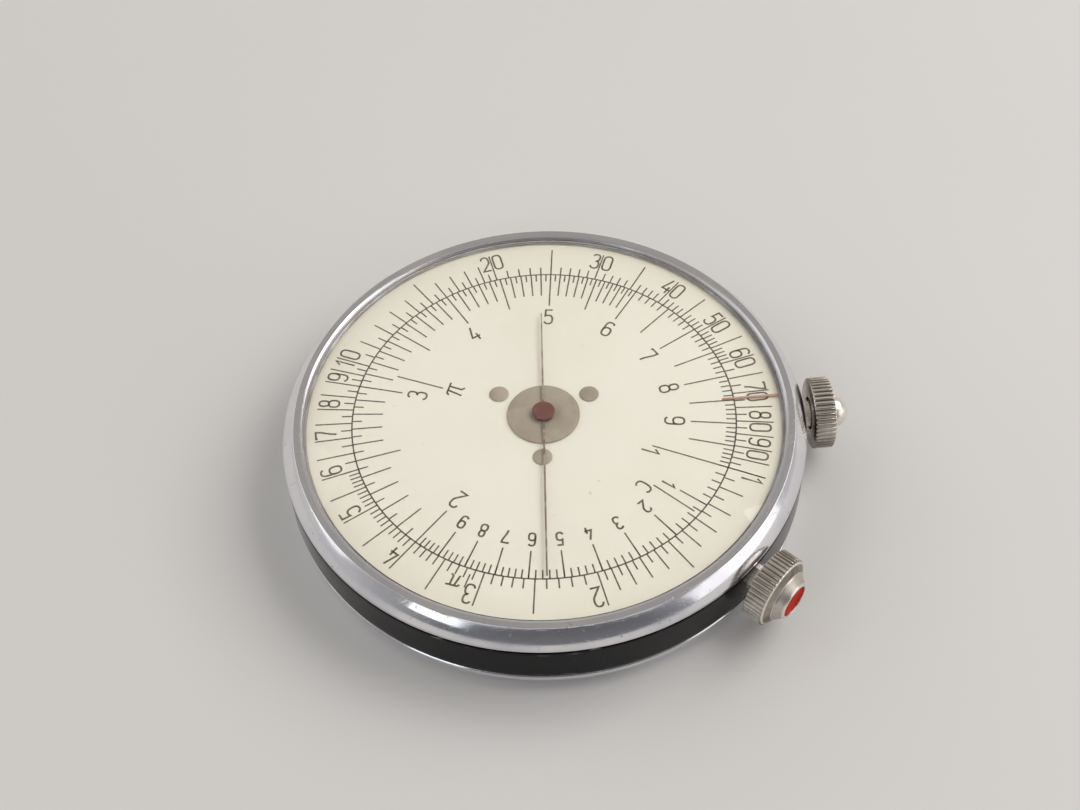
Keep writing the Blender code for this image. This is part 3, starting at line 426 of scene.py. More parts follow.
def lathe(outline, steps, centre=(0, 0), radius_at=None):
    """Turn a closed outline round the axis; points at radius 0 become poles."""
    area = sum(a[0] * b[1] - b[0] * a[1] for a, b in zip(outline, outline[1:] + outline[:1]))
    if area < 0:
        outline = outline[::-1]
    verts = []
    rows = []
    for radius, height in outline:
        if radius <= 0:
            rows.append([len(verts)] * steps)
            verts.append((centre[0], centre[1], height))
            continue
        row = []
        for k in range(steps):
            angle = 2 * math.pi * k / steps
            r = radius_at(radius, height, angle) if radius_at else radius
            row.append(len(verts))
            x, y = r * math.cos(angle), r * math.sin(angle)
            verts.append((centre[0] + x, centre[1] + y, height))
        rows.append(row)
    faces = []
    for low, high in zip(rows, rows[1:] + rows[:1]):
        if low[0] == low[1] and high[0] == high[1]:
            continue
        for k in range(steps):
            n = (k + 1) % steps
            face = []
            for corner in (low[k], low[n], high[n], high[k]):
                if corner not in face:
                    face.append(corner)
            faces.append(tuple(face))
    return verts, faces


def flipped(corners):
    """The same outline on the rear side of the case."""
    return [(corner[0], 2 * MIDDLE - corner[1], *corner[2:]) for corner in corners]


def dressed(obj, body, *nodes):
    """Let a piece ride on a body and stand for CAD nodes."""
    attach(obj, body)
    if nodes:
        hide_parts(*nodes)
    return obj


def skirt_corners():
    """Lower part of a bezel's section, from its outer edge in to the lip."""
    return [(CASE_RADIUS, SEAM + 0.1, 0.03), (CASE_RADIUS - 0.1, SEAM, 0.03),
            (SKIRT_RADIUS, SEAM, 0), (SKIRT_RADIUS, SKIRT_TOP, 0), (LIP_RADIUS, SKIRT_TOP, 0.02)]


def bowed_flank(corner, crest, reach, drop, bow):
    """Points down the conical side of a bezel, pushed out to a slight bow."""
    points = []
    for k in range(1, FLANK_STEPS):
        share = k / FLANK_STEPS
        bulge = bow * 4 * share * (1 - share)
        points.append((corner + reach * share + bulge * BOW_OUTWARD,
                       crest - drop * share + bulge * BOW_UPWARD, 0))
    return points


def front_bezel_outline():
    """Section with a round crest and a conical side, lower than the domed cover."""
    corner = CASE_RADIUS - FRONT_FLANK_REACH
    crest = [(FRONT_SEAT, FRONT_CREST - 0.34, 0.03), (FRONT_SEAT + 0.14, FRONT_CREST - 0.10, 0.10),
             (FRONT_SEAT + 0.40, FRONT_CREST, 0.24), (corner, FRONT_CREST, 0.05)]
    flank = bowed_flank(corner, FRONT_CREST, FRONT_FLANK_REACH, FRONT_FLANK_DROP, FRONT_FLANK_BOW)
    foot = [(CASE_RADIUS, FRONT_CREST - FRONT_FLANK_DROP, 0.12), *skirt_corners()]
    seat = [(LIP_RADIUS, LIP_TOP, 0.02), (FRONT_SEAT, LIP_TOP, 0)]
    return rounded(crest + flank + foot + seat, 8)


def rear_bezel_outline():
    """Section with a flat crest, level with the cover, that the rule rests on."""
    crest = [(CREST_INNER, CRYSTAL_FACE, 0.03), (CREST_OUTER, CRYSTAL_FACE, 0.04)]
    flank = bowed_flank(CREST_OUTER, CRYSTAL_FACE, CASE_RADIUS - CREST_OUTER, FLANK_DROP, FLANK_BOW)
    foot = [(CASE_RADIUS, CRYSTAL_FACE - FLANK_DROP, 0.12), *skirt_corners()]
    seat = [(LIP_RADIUS, REAR_LIP_TOP, 0.06), (SEAT_RADIUS, REAR_LIP_TOP, 0),
            (SEAT_RADIUS, CRYSTAL_FACE - 0.4, 0.05)]
    return rounded(flipped(crest + flank + foot + seat))


def grime_at(radius, height):
    """Dirt in the groove round the front cover, with less of it up the inside of the crest."""
    if radius > FRONT_SEAT + GRIME_REACH or height < GRIME_FLOOR:
        return 0.0
    return 0.35 if height > GRIME_TOP else 1.0


def make_bezels(finish):
    for name, outline, node in (("bezel_ring_front", front_bezel_outline(), "front_bezel"),
                                ("bezel_ring_rear", rear_bezel_outline(), "rear_bezel")):
        verts, faces = lathe(outline, FINE_STEPS)
        grime = [grime_at(math.hypot(x, y), z) for x, y, z in verts]
        ring = link_object(name, verts, faces, finish, attributes={"grime": grime})
        dressed(ring, "case", node)


def make_band(finish):
    """Side wall of the case, with a neck under each bezel and a ledge for the plate."""
    low = 2 * MIDDLE - BAND_TOP
    neck_low = 2 * MIDDLE - NECK_TOP
    corners = [(NECK_INNER, NECK_TOP, 0), (NECK_RADIUS, NECK_TOP, 0), (NECK_RADIUS, BAND_TOP, 0),
               (CASE_RADIUS, BAND_TOP, 0.12), (CASE_RADIUS, BAND_TOP - 0.5, 0),
               (CASE_RADIUS, low + 0.5, 0), (CASE_RADIUS, low, 0.12), (NECK_RADIUS, low, 0),
               (NECK_RADIUS, neck_low, 0), (LEDGE_INNER, neck_low, 0),
               (LEDGE_INNER, LEDGE_TOP, 0), (NECK_INNER, LEDGE_TOP, 0)]
    verts, faces = lathe(rounded(corners), FINE_STEPS)
    # Mask of the band's outer top and bottom edges: rubbed plate and a painted highlight.
    edge_wear_and_highlight = []
    for x, y, z in verts:
        outside = math.hypot(x, y) > CASE_RADIUS - 0.15
        edge_wear_and_highlight.append(1.0 if outside and not low + 0.2 < z < BAND_TOP - 0.2 else 0.0)
    band = link_object("band_wall", verts, faces, finish, attributes={"edge_wear_and_highlight": edge_wear_and_highlight})
    dressed(band, "case", "case_band")


def make_covers(finish):
    """Domed cover of the front and flat cover of the rear."""
    rim = FRONT_SEAT - COVER_GAP
    shares = [k / COVER_STEPS for k in range(1, COVER_STEPS + 1)]
    front = [(0, CRYSTAL_FACE)]
    front += [(rim * t, CRYSTAL_FACE - COVER_SAG * t * t) for t in shares]
    front += [(rim * t, CRYSTAL_BACK - COVER_BACK_SAG * t * t) for t in reversed(shares)]
    front += [(0, CRYSTAL_BACK)]
    rim = SEAT_RADIUS - COVER_GAP
    rear = [(0, CRYSTAL_FACE, 0), (rim - 0.4, CRYSTAL_FACE, 0.2), (rim, CRYSTAL_FACE - 0.3, 0.1),
            (rim, CRYSTAL_BACK, 0.02), (0, CRYSTAL_BACK, 0)]
    for name, outline, node in (("cover_front", front, "front_crystal"),
                                ("cover_rear", rounded(flipped(rear)), "rear_crystal")):
        verts, faces = lathe(outline, FINE_STEPS)
        cover = link_object(name, verts, faces, finish)
        cover.visible_shadow = False
        dressed(cover, "case", node)


def dome(radius, base, rise):
    """Points down a low dome, from beside its pole to its rim."""
    return [(radius * math.sin(a), base + rise * math.cos(a))
            for a in (math.pi / 2 * k / DOME_STEPS for k in range(1, DOME_STEPS + 1))]


def make_hub(finish):
    corners = [(HUB_BORE, HUB_FACE, 0.02), (HUB_RADIUS, HUB_FACE, 0.06),
               (HUB_RADIUS, HUB_UNDERSIDE, 0), (HUB_PIPE, HUB_UNDERSIDE, 0),
               (HUB_PIPE, HUB_BASE, 0), (HUB_BORE, HUB_BASE, 0)]
    verts, faces = lathe(rounded(corners), SMALL_STEPS * 2)
    hub = link_object("hub_disc", verts, faces, finish)
    dressed(hub, "dial", "dial_hub")


def make_rivets(finish):
    outline = [(0, HUB_UNDERSIDE + RIVET_DOME), *dome(RIVET_RADIUS, HUB_UNDERSIDE, RIVET_DOME),
               (RIVET_SHANK, HUB_UNDERSIDE), (RIVET_SHANK, RIVET_FOOT_TOP),
               (RIVET_RADIUS, RIVET_FOOT_TOP), (RIVET_RADIUS, RIVET_FOOT), (0, RIVET_FOOT)]
    for i in range(3):
        angle = math.radians(RIVET_AZIMUTH + 120 * i)
        centre = (RIVET_CIRCLE * math.cos(angle), RIVET_CIRCLE * math.sin(angle))
        verts, faces = lathe(outline, SMALL_STEPS, centre)
        rivet = link_object(f"rivet_head_{i + 1}", verts, faces, finish)
        dressed(rivet, "dial", f"dial_rivet_{i + 1}")


def make_caps(finish):
    bore_top = CAP_BASE + CAP_BORE_DEPTH
    outline = [(0, CAP_BASE + CAP_WALL + CAP_DOME),
               *dome(CAP_RADIUS, CAP_BASE + CAP_WALL, CAP_DOME), (CAP_RADIUS, CAP_BASE),
               (CAP_BORE, CAP_BASE), (CAP_BORE, bore_top), (0, bore_top)]
    for name, turned, node in (("cap_front", outline, "front_hand_cap"),
                               ("cap_rear", flipped(outline), "rear_hand_cap")):
        verts, faces = lathe(turned, SMALL_STEPS)
        cap = link_object(name, verts, faces, finish)
        dressed(cap, "hands", node)


def groove(angle):
    """Share of the groove's full depth at an angle round the knob."""
    place = (angle * RIDGES / (2 * math.pi)) % 1.0
    across = abs(place - 0.5) * 2 / GROOVE_SHARE
    return max(0.0, 1.0 - across ** GROOVE_POWER)


def cone_nose():
    """Sloped face and cone of the hand knob, as (distance, radius) points."""
    points = [(KNURL_END + 0.03, 3.22), (KNURL_END + 0.20, 2.95)]
    for k in range(7):
        t = k / 6
        points.append((KNURL_END + 0.34 + 0.18 * t, 2.70 - 0.20 * t + 0.05 * (2 * t - 1) ** 2))
    points += [(KNURL_END + 0.52 + 0.74 * k / 6, 2.55 - 0.66 * k / 6 - 0.02 * k * (6 - k) / 9)
               for k in range(1, 7)]
    return points + [(KNURL_END + 1.32, 1.83), (KNURL_END + 1.35, 1.78)]


def ball_nose():
    """Flat face and ball of the dial knob, as (distance, radius) points."""
    points = [(KNURL_END, 3.22), (KNURL_END + 0.01, 1.80), (KNURL_END + 0.05, 1.66)]
    last = math.acos(BALL_TIP / BALL_RADIUS)
    for k in range(1, 13):
        angle = last * k / 12
        points.append((KNURL_END + 0.15 + BALL_RADIUS * math.sin(angle),
                       BALL_RADIUS * math.cos(angle)))
    return points + [(points[-1][0] + 0.01, 0.66)]


def knurl_profile():
    """Knurled side with a chamfer at each end, as (distance, radius) points."""
    rim = KNOB_RADIUS - KNOB_CHAMFER
    side = KNOB_BACK + KNURL_BACK_CHAMFER
    length = KNURL_END - KNURL_END_CHAMFER - side
    points = [(KNOB_BACK, rim)]
    points += [(KNOB_BACK + KNURL_BACK_CHAMFER * k / 4, rim + KNOB_CHAMFER * k / 4)
               for k in range(1, 5)]
    points += [(side + length * k / 4, KNOB_RADIUS) for k in range(1, 5)]
    points += [(KNURL_END - KNURL_END_CHAMFER + KNURL_END_CHAMFER * k / 8,
                KNOB_RADIUS - KNOB_CHAMFER * k / 8) for k in range(1, 9)]
    return points


def knob_profile(nose, dot_radius):
    """Whole section of a knob, from the end of its bore to the recess for its dot."""
    bore_end = KNOB_BACK + KNOB_BORE_DEPTH
    recess_end = KNOB_BACK + KNOB_RECESS_DEPTH
    tip = nose[-1][0]
    floor = tip - DOT_SINK - DOT_THICKNESS - DOT_CLEARANCE
    wall = dot_radius + DOT_CLEARANCE
    return [(bore_end, 0), (bore_end, KNOB_BORE), (recess_end, KNOB_BORE),
            (recess_end, KNOB_RECESS), (KNOB_BACK + 0.03, KNOB_RECESS),
            (KNOB_BACK, KNOB_RECESS + 0.03), *knurl_profile(), *nose,
            (tip, wall + 0.03), (tip - 0.03, wall), (floor, wall), (floor, 0)]


def knurled(radius, height, angle):
    """Radius of the knob's surface at an angle, with the grooves cut in."""
    if radius < SMOOTH_RADIUS or height > KNURL_END:
        return radius
    return min(radius, KNOB_RADIUS - GROOVE_DEPTH * groove(angle))


def dirt_at(prefix, radius, height):
    """Grime and painted shade on a knob: grime in its groove floors, grime and painted shade on the
    groove walls, painted shade in the corner of its nose and on the hand knob's cone, and a darker
    back face.
    """
    deep = min(1.0, (KNOB_RADIUS - radius) / GROOVE_DEPTH) if radius > 3.35 else 0.0
    in_knurl = height < KNURL_END - 0.12
    # Groove walls are darkest: grime, and painted shade that outlines each ridge.
    wall = 1.0 - abs(2 * deep - 1) ** 3 if height > KNOB_BACK + 0.1 and in_knurl else 0.0
    floor = 0.38 if deep > 0.9 and wall < 0.38 and in_knurl else 0.0
    # Painted shade on the face between the end of the knurl and the nose.
    corner = 0.85 if height > KNURL_END - 0.01 and 2.60 < radius < 3.30 else 0.0
    # Painted shade over the hand knob's cone: a dark reflection painted into its colour.
    if prefix == "hand" and height > KNURL_END + 0.45 and radius > 1.9:
        corner = 0.44
    back = 0.22 if height < KNOB_BACK + 0.05 else 0.0
    return max(0.0, wall, floor, corner, back)


def make_knob(prefix, body, finishes, nose, dot_radius, slot):
    """Knurled knob with a nose, and the enamel dot sunk into its tip."""
    outline = [(radius, height) for height, radius in knob_profile(nose, dot_radius)]
    verts, faces = lathe(outline, RIDGES * STEPS_PER_RIDGE, radius_at=knurled)
    # Grime, and painted shade on the groove walls, the nose's corner and the hand knob's cone,
    # stored under the attribute groove.
    knob_dirt_and_shade = [dirt_at(prefix, math.hypot(x, y), z) for x, y, z in verts]
    knob = link_object(f"{prefix}_knob_body", verts, faces, finishes["nickel"], 38.0,
                       {"groove": knob_dirt_and_shade})
    turn = Matrix.Translation((0, 0, MIDDLE * MM)) @ Matrix.Rotation(
        math.radians(KNOB_AZIMUTHS[prefix]), 4, "Z") @ Matrix.Rotation(math.pi / 2, 4, "Y")
    knob.matrix_world = turn
    dressed(knob, body, f"{prefix}_knob")
    face = nose[-1][0] - DOT_SINK
    back = face - DOT_THICKNESS
    outline = [(0, face), (dot_radius * 0.7, face - 0.005), (dot_radius * 0.92, face + 0.01),
               (dot_radius, face + 0.03), (dot_radius, back), (0, back)]
    verts, faces = lathe(outline, SMALL_STEPS)
    dot = link_object(f"{prefix}_knob_enamel", verts, faces, finishes[slot])
    dot.matrix_world = turn
    dressed(dot, body, f"{prefix}_knob_dot")


def arc(centre, radii, start, end, steps=10, squareness=0.78):
    """Points on part of an oval with slightly flattened sides."""
    points = []
    for k in range(steps + 1):
        angle = math.radians(start + (end - start) * k / steps)
        across, up = (math.copysign(abs(v) ** squareness, v)
                      for v in (math.cos(angle), math.sin(angle)))
        points.append((centre[0] + radii[0] * across, centre[1] + radii[1] * up))
    return points


# Strokes of each figure in a box one wide and one high; the last entry says whether it closes
FIGURES = {
    "0": [(arc((0.5, 0.72), (0.5, 0.28), 0, 180) + arc((0.5, 0.28), (0.5, 0.28), 180, 360), True)],
    "1": [([(0.18, 0.74), (0.62, 1.0), (0.62, 0.0)], False)],
    "2": [(arc((0.5, 0.71), (0.47, 0.29), 165, -35) + [(0.03, 0.0), (1.0, 0.0)], False)],
    "3": [(arc((0.48, 0.76), (0.44, 0.24), 155, -80) + arc((0.48, 0.27), (0.50, 0.27), 80, -160),
           False)],
    "4": [([(0.55, 1.0), (0.0, 0.27), (1.0, 0.27)], False), ([(0.74, 0.48), (0.74, 0.0)], False)],
    "5": [([(0.92, 1.0), (0.14, 1.0), (0.10, 0.57)] + arc((0.46, 0.31), (0.50, 0.31), 118, -155),
           False)],
    "6": [(arc((0.5, 0.68), (0.5, 0.32), 35, 180) + [(0.0, 0.30)], False),
          (arc((0.5, 0.29), (0.5, 0.29), 0, 342, 16), True)],
    "7": [([(0.0, 0.93), (0.02, 1.0), (1.0, 1.0), (0.92, 0.76), (0.72, 0.50), (0.52, 0.26),
            (0.42, 0.0)], False)],
    "8": [(arc((0.5, 0.76), (0.40, 0.24), 0, 342, 16), True),
          (arc((0.5, 0.26), (0.50, 0.26), 0, 342, 16), True)],
    "9": [(arc((0.5, 0.32), (0.5, 0.32), 215, 360) + [(1.0, 0.70)], False),
          (arc((0.5, 0.71), (0.5, 0.29), 0, 342, 16), True)],
    "C": [(arc((0.55, 0.5), (0.50, 0.5), 48, 312, 16), False)],
    "S": [(arc((0.5, 0.75), (0.44, 0.25), 25, 270) + arc((0.5, 0.26), (0.46, 0.26), 90, -155),
           False)],
    "T": [([(0.0, 1.0), (1.0, 1.0)], False), ([(0.5, 1.0), (0.5, 0.0)], False)],
    "pi": [([(0.0, 0.78), (0.12, 0.93), (1.0, 0.98)], False), ([(0.36, 0.94), (0.20, 0.0)], False),
           ([(0.70, 0.96), (0.68, 0.14), (0.86, 0.0)], False)],
}


class Print:
    """Collects printed lines as thin closed solids on one face of a dial."""

    def __init__(self, side):
        self.side = side
        self.verts = []
        self.faces = []
        face = DIAL_FACE - MIDDLE
        self.levels = (MIDDLE + side * (face - INK_SINK), MIDDLE + side * (face + INK_RISE))

    def ribbon(self, points, width, closed=False):
        count = len(points)
        sides = []
        for i in range(count):
            here = Vector(points[i])
            before = Vector(points[i - 1]) if closed or i else None
            after = Vector(points[(i + 1) % count]) if closed or i < count - 1 else None
            first = (here - before if before is not None else after - here).normalized()
            second = (after - here).normalized() if after is not None else first
            normal = Vector((-first.y - second.y, first.x + second.x))
            if normal.length < 0.2:
                normal = Vector((-second.y, second.x))
            normal.normalize()
            reach = width / 2 / max(0.5, normal.dot(Vector((-second.y, second.x))))
            tip = Vector((0, 0))
            if not closed and i in (0, count - 1):
                tip = (first if i else -first) * width * LINE_END
            sides.append((here + normal * reach + tip, here - normal * reach + tip))
        base = len(self.verts)
        for left, right in sides:
            for point in (left, right):
                for level in self.levels:
                    self.verts.append((point.x, point.y, level))
        for i in range(count if closed else count - 1):
            a = base + 4 * i
            b = base + 4 * ((i + 1) % count)
            for p, q in ((1, 3), (3, 2), (2, 0), (0, 1)):
                self.faces.append((a + p, a + q, b + q, b + p))
        if not closed:
            self.faces.append((base, base + 2, base + 3, base + 1))
            end = base + 4 * (count - 1)
            self.faces.append((end + 1, end + 3, end + 2, end))

    def spot(self, degrees, radius, across=0.0, up=0.0):
        """A point given by its turn from the 1 of the scale, as read on this face."""
        azimuth = math.radians(ONE_AZIMUTH - degrees)
        x = radius * math.cos(azimuth) + up * math.cos(azimuth) + across * math.sin(azimuth)
        y = radius * math.sin(azimuth) + up * math.sin(azimuth) - across * math.cos(azimuth)
        return (x, y) if self.side > 0 else (x, -y)

    def tick(self, degrees, start, end):
        self.ribbon([self.spot(degrees, start), self.spot(degrees, end)], LINE_WIDTH)

    def circle(self, radius):
        self.ribbon([self.spot(k, radius) for k in range(360)], LINE_WIDTH, True)

    def figure(self, name, degrees, radius, height, width, across=0.0, line=FIGURE_WIDTH):
        for points, closed in FIGURES[name]:
            placed = [self.spot(degrees, radius, across + (x - 0.5) * width, (y - 0.5) * height)
                      for x, y in points]
            self.ribbon(placed, line, closed)

    def number(self, text, degrees, radius, height, width, gap):
        """A number written in one thin line, centred on its place."""
        start = -(len(text) - 1) * (width + gap) / 2
        for k, name in enumerate(text):
            across = start + k * (width + gap)
            self.figure(name, degrees, radius, height, width, across, LINE_WIDTH)

    def finished(self, name, material, body):
        obj = link_object(name, self.verts, self.faces, material, 60.0)
        dressed(obj, body)


def steps_of(first, last, step):
    count = round((last - first) / step)
    return [round(first + step * k, 4) for k in range(count)]


def is_multiple(value, step):
    return abs(value / step - round(value / step)) < 0.001


def draw_main_scale(page, radius):
    """The scale of one turn, with its ticks inside the circle."""
    def place(value):
        return 360 * math.log10(value)

    short, medium, long = 0.95, 3.0, 4.45
    for value in steps_of(1, 2, 0.02):
        page.tick(place(value), radius, radius - short)
    for value in steps_of(1.1, 2, 0.1):
        page.tick(place(value), radius, radius - medium)
        tenth = str(round(value * 10 - 10))
        page.figure(tenth, place(value), radius - TENTH_INSET, *TENTH_FIGURE)
    for value in steps_of(2, 6, 0.05) + steps_of(6, 10, 0.1):
        length = short
        if is_multiple(value, 0.5):
            length = long
        elif value < 6 and is_multiple(value, 0.1):
            length = medium
        page.tick(place(value), radius, radius - length)
    for value in range(2, 10):
        across = -0.25 if value == 4 else 0.0
        page.figure(str(value), place(value), radius - INNER_INSET, *INNER_FIGURE, across)


# Place of the left-hand figure of 10, 20, ... 90 across its tick, and the radius of both figures
DECADES = {1: (-0.50, 21.52), 2: (-0.62, 21.58), 3: (-0.60, 21.58), 4: (-0.52, 21.50),
           5: (-0.60, 21.46), 6: (-0.66, 21.38), 7: (-0.62, 21.38), 8: (-0.84, 21.36),
           9: (-0.90, 21.36)}


def draw_front(material):
    """Turning dial: the scale of one turn, the squares outside it, and the gauge marks."""
    page = Print(1)
    circle = SCALE_RADIUS
    page.circle(circle)
    draw_main_scale(page, circle)
    page.tick(0, 11.35, 22.7)
    page.figure("1", 0, 11.35, 1.75, 0.9, 0.62)
    gauge = 360 * math.log10(GAUGE_MARK)
    page.tick(gauge, 18.45, 13.65)
    page.figure("C", gauge, 13.0, 1.55, 0.85, 0.72)
    pi_mark = 360 * math.log10(math.pi)
    page.tick(pi_mark, 15.7, 10.75)
    page.figure("pi", pi_mark, 9.45, 1.6, 1.5, 0.15)

    def place(value):
        return 180 * math.log10(value)

    short, medium, long = circle + 1.05, circle + 2.45, circle + 3.65
    for tens in (1, 10):
        values = steps_of(1, 2, 0.05) + steps_of(2, 6, 0.1) + steps_of(6, 10, 0.25)
        for value in values:
            end = short
            if is_multiple(value, 0.5):
                end = long
            elif value < 2 and is_multiple(value, 0.1):
                end = medium
            page.tick(place(value * tens), circle, end)
    for value in range(1, 10):
        across = 0.74 if value > 1 else 0.6
        page.figure(str(value), place(value), UNIT_RADIUS, *UNIT_FIGURE, across)
    for value, (across, radius) in DECADES.items():
        page.figure(str(value), place(value * 10), radius, *DECADE_FIGURE, across)
        across = 0.80 if value == 1 else 0.70
        page.figure("0", place(value * 10), radius, *ZERO_FIGURE, across)
    page.tick(place(math.pi), 19.6, 21.05)
    page.figure("pi", place(math.pi), 20.65, 1.2, 1.25, 1.15)
    page.finished("front_scales", material, "dial")


def draw_rear(material):
    """Fixed dial: the counting scale outside, then sines and tangents."""
    page = Print(-1)
    page.circle(REAR_SCALE_RADIUS)
    draw_rear_counting(page, REAR_SCALE_RADIUS)
    for name, radius, function, degrees in (
            ("S", 13.3, math.sin, [7, 8, 9, 10, 12, 15, 20, 25, 30, 40, 50, 60, 90]),
            ("T", 8.8, math.tan, [7, 8, 9, 10, 12, 15, 20, 25, 30, 35, 40, 45])):
        page.circle(radius)

        def place(angle):
            return 360 * math.log10(10 * function(math.radians(angle)))

        values = steps_of(6, 20, 0.5) + steps_of(20, 45, 1)
        if name == "S":
            values += [45, 50, 55, 60, 65, 70, 80, 90]
        for value in values:
            length = 1.5 if value in degrees else 0.8
            page.tick(place(value), radius, radius - length)
        for value in degrees:
            page.number(str(value), place(value), radius - ANGLE_INSET, *ANGLE_FIGURE, ANGLE_GAP)
    page.figure("S", 350, 10.95, 1.3, 0.8)
    page.figure("T", 346.5, 6.45, 1.3, 0.8)
    page.finished("rear_scales", material, "case")


def draw_rear_counting(page, radius):
    """Counting scale of one turn, with its ticks inside the circle and a mark at its 1."""
    def place(value):
        return 360 * math.log10(value)

    for value in steps_of(1, 2, 0.02) + steps_of(2, 6, 0.05) + steps_of(6, 10, 0.1):
        length = 1.0
        if is_multiple(value, 0.5) or (value < 6 and is_multiple(value, 0.1)):
            length = 2.2 if is_multiple(value, 0.5) else 1.6
        page.tick(place(value), radius, radius - length)
    for value in range(1, 10):
        page.figure(str(value), place(value), radius - REAR_INSET, *REAR_FIGURE)
    page.tick(0, radius + 1.2, radius - 2.2)


def dress_nodes(finishes):
    """Give each CAD node the finish of its slot."""
    slots = {part["node"]: part["material_slot"] for part in frame["record"]["subparts"]}
    for name, obj in frame["nodes"].items():
        obj.data.materials.clear()
        obj.data.materials.append(finishes["index_red" if name == "dial_index" else slots[name]])


def add_area_light(name, place, size, power, colour):
    lamp = bpy.data.lights.new(name, "AREA")
    lamp.shape = "RECTANGLE"
    lamp.size, lamp.size_y = size
    lamp.energy = power
    lamp.color = colour
    obj = bpy.data.objects.new(name, lamp)
    obj.location = place
    aim = Vector((0, 0, 0.005)) - Vector(place)
    obj.rotation_euler = aim.to_track_quat("-Z", "Y").to_euler()
    bpy.context.scene.collection.objects.link(obj)


def make_floor(finish):
    size = 3.0
    mesh = bpy.data.meshes.new("floor")
    corners = [(-size, -size, 0), (size, -size, 0), (size, size, 0), (-size, size, 0)]
    mesh.from_pydata(corners, [], [(0, 1, 2, 3)])
    mesh.materials.append(finish)
    floor = bpy.data.objects.new("floor", mesh)
    bpy.context.scene.collection.objects.link(floor)


def make_world():
    """Soft room: darker overhead, and darker still behind the camera."""
    world = bpy.data.worlds.new("studio")
    world.use_nodes = True
    tree = world.node_tree
    place = tree.nodes.new("ShaderNodeTexCoord").outputs["Generated"]
    split = tree.nodes.new("ShaderNodeSeparateXYZ")
    tree.links.new(place, split.inputs["Vector"])
    tones = []
    for axis, first, second, start, end in (
            ("Z", (0.60, 0.59, 0.58, 1), (0.37, 0.35, 0.32, 1), 0.0, 0.75),
            ("Y", (0.30, 0.31, 0.34, 1), (1.0, 1.0, 1.0, 1), -0.80, -0.25)):
        spread = tree.nodes.new("ShaderNodeMapRange")
        spread.inputs["From Min"].default_value = start
        spread.inputs["From Max"].default_value = end
        tree.links.new(split.outputs[axis], spread.inputs["Value"])
        tone = tree.nodes.new("ShaderNodeMix")
        tone.data_type = "RGBA"
        tone.inputs[6].default_value = first
        tone.inputs[7].default_value = second
        tree.links.new(spread.outputs["Result"], tone.inputs[0])
        tones.append(tone.outputs[2])
    joined = tree.nodes.new("ShaderNodeMix")
    joined.data_type = "RGBA"
    joined.blend_type = "MULTIPLY"
    joined.inputs[0].default_value = 1.0
    tree.links.new(tones[0], joined.inputs[6])
    tree.links.new(tones[1], joined.inputs[7])
    tree.links.new(joined.outputs[2], tree.nodes["Background"].inputs["Color"])
    tree.nodes["Background"].inputs["Strength"].default_value = 1.0
    bpy.context.scene.world = world


# Name, place, size, power and colour of each lamp; the windows are there for the chrome
LAMPS = (("key", (0.34, 0.10, 0.40), (0.44, 0.34), 1.31, (1.0, 0.985, 0.96)),
         ("fill", (-0.42, 0.14, 0.34), (0.60, 0.52), 0.74, (0.96, 0.975, 1.0)),
         ("window_right", (0.465, -0.16, 0.130), (0.40, 0.24), 0.25, (1.0, 0.985, 1.0)),
         ("window_left", (-0.30, -0.34, 0.190), (0.16, 0.14), 0.09, (0.88, 0.94, 1.0)),
         ("window_front", (0.02, -0.40, 0.340), (0.70, 0.07), 0.12, (0.95, 0.95, 1.0)))

# Camera fitted to the photograph: angles in radians, distance in radii of the scale's circle
CAMERA_ELEVATION = 0.9073929
CAMERA_ROLL = 0.0441343
CAMERA_DISTANCE = 8.26614
CAMERA_AIM = (0.00740, 0.00195, 0)
FOCAL_PIXELS = 1581.635
PHOTO_WIDTH = 1080
SENSOR_WIDTH = 36.0


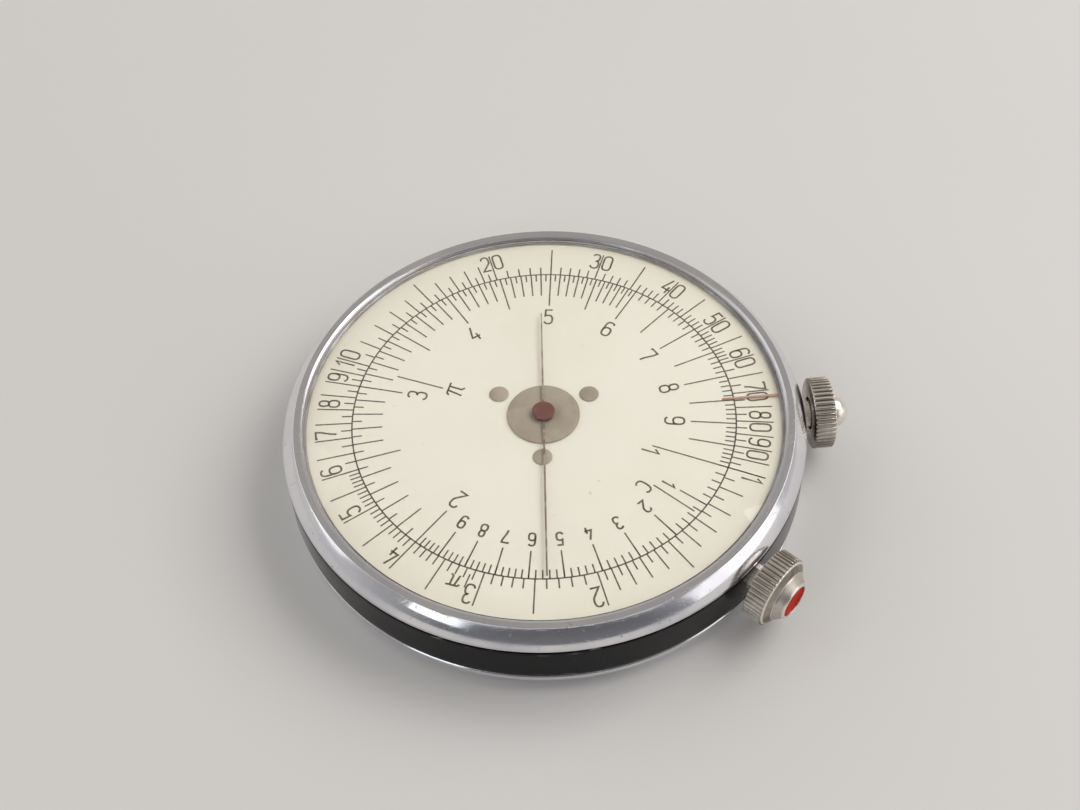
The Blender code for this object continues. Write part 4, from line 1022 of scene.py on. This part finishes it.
def make_camera():
    """Camera that shows the dial's scale circle and rim as the photograph does."""
    forward = Vector((0, math.cos(CAMERA_ELEVATION), -math.sin(CAMERA_ELEVATION)))
    right = Vector((1, 0, 0))
    up = right.cross(forward)
    basis = Matrix((right, up, forward))
    aim = Vector(CAMERA_AIM)
    turn = Matrix.Rotation(CAMERA_ROLL, 3, "Z") @ Matrix.Rotation(aim.length, 3, aim) @ basis
    rotation = Matrix((turn[0], turn[1], -turn[2])).transposed()
    lens = bpy.data.cameras.new("camera")
    lens.sensor_width = SENSOR_WIDTH
    lens.lens = FOCAL_PIXELS / PHOTO_WIDTH * SENSOR_WIDTH
    lens.clip_start = 0.001
    camera = bpy.data.objects.new("camera", lens)
    place = Vector((0, 0, DIAL_FACE * MM)) - forward * CAMERA_DISTANCE * SCALE_RADIUS * MM
    camera.matrix_world = Matrix.Translation(place) @ rotation.to_4x4()
    bpy.context.scene.collection.objects.link(camera)
    bpy.context.scene.camera = camera


finishes = {
    "chrome": make_chrome(),
    "black_nickel": make_black_plate(),
    "nickel": make_nickel(),
    "brass": make_plain_metal("turned_brass", (0.74, 0.57, 0.28), (0.62, 0.45, 0.20), 0.32),
    "steel": make_plain_metal("turned_steel", (0.52, 0.52, 0.53), (0.42, 0.42, 0.44), 0.30),
    "dial_paint": make_dial_paint(),
    "hub_metal": make_hub_metal(),
    "red_paint": make_enamel("red_enamel", (0.62, 0.016, 0.006), (0.42, 0.010, 0.005)),
    "cap_red": make_enamel("cap_enamel", (0.195, 0.072, 0.058), (0.14, 0.055, 0.045)),
    "index_red": make_enamel("index_enamel", (0.56, 0.35, 0.26), (0.47, 0.28, 0.21)),
    "black_paint": make_enamel("black_enamel", (0.020, 0.020, 0.022), (0.012, 0.012, 0.013)),
    "hand_paint": make_hand_lacquer(),
    "clear_plastic": make_clear_plastic(),
    "floor": make_floor_paint(),
}
ink = make_ink()
dress_nodes(finishes)
make_bezels(finishes["chrome"])
make_band(finishes["black_nickel"])
make_covers(finishes["clear_plastic"])
make_hub(finishes["hub_metal"])
make_rivets(finishes["hub_metal"])
make_caps(finishes["cap_red"])
make_knob("dial", "dial_crown", finishes, ball_nose(), 0.50, "black_paint")
make_knob("hand", "hand_crown", finishes, cone_nose(), 1.58, "red_paint")
draw_front(ink)
draw_rear(ink)
make_floor(finishes["floor"])
make_world()
for lamp in LAMPS:
    add_area_light(*lamp)
make_camera()
bpy.context.scene.view_settings.view_transform = "Standard"
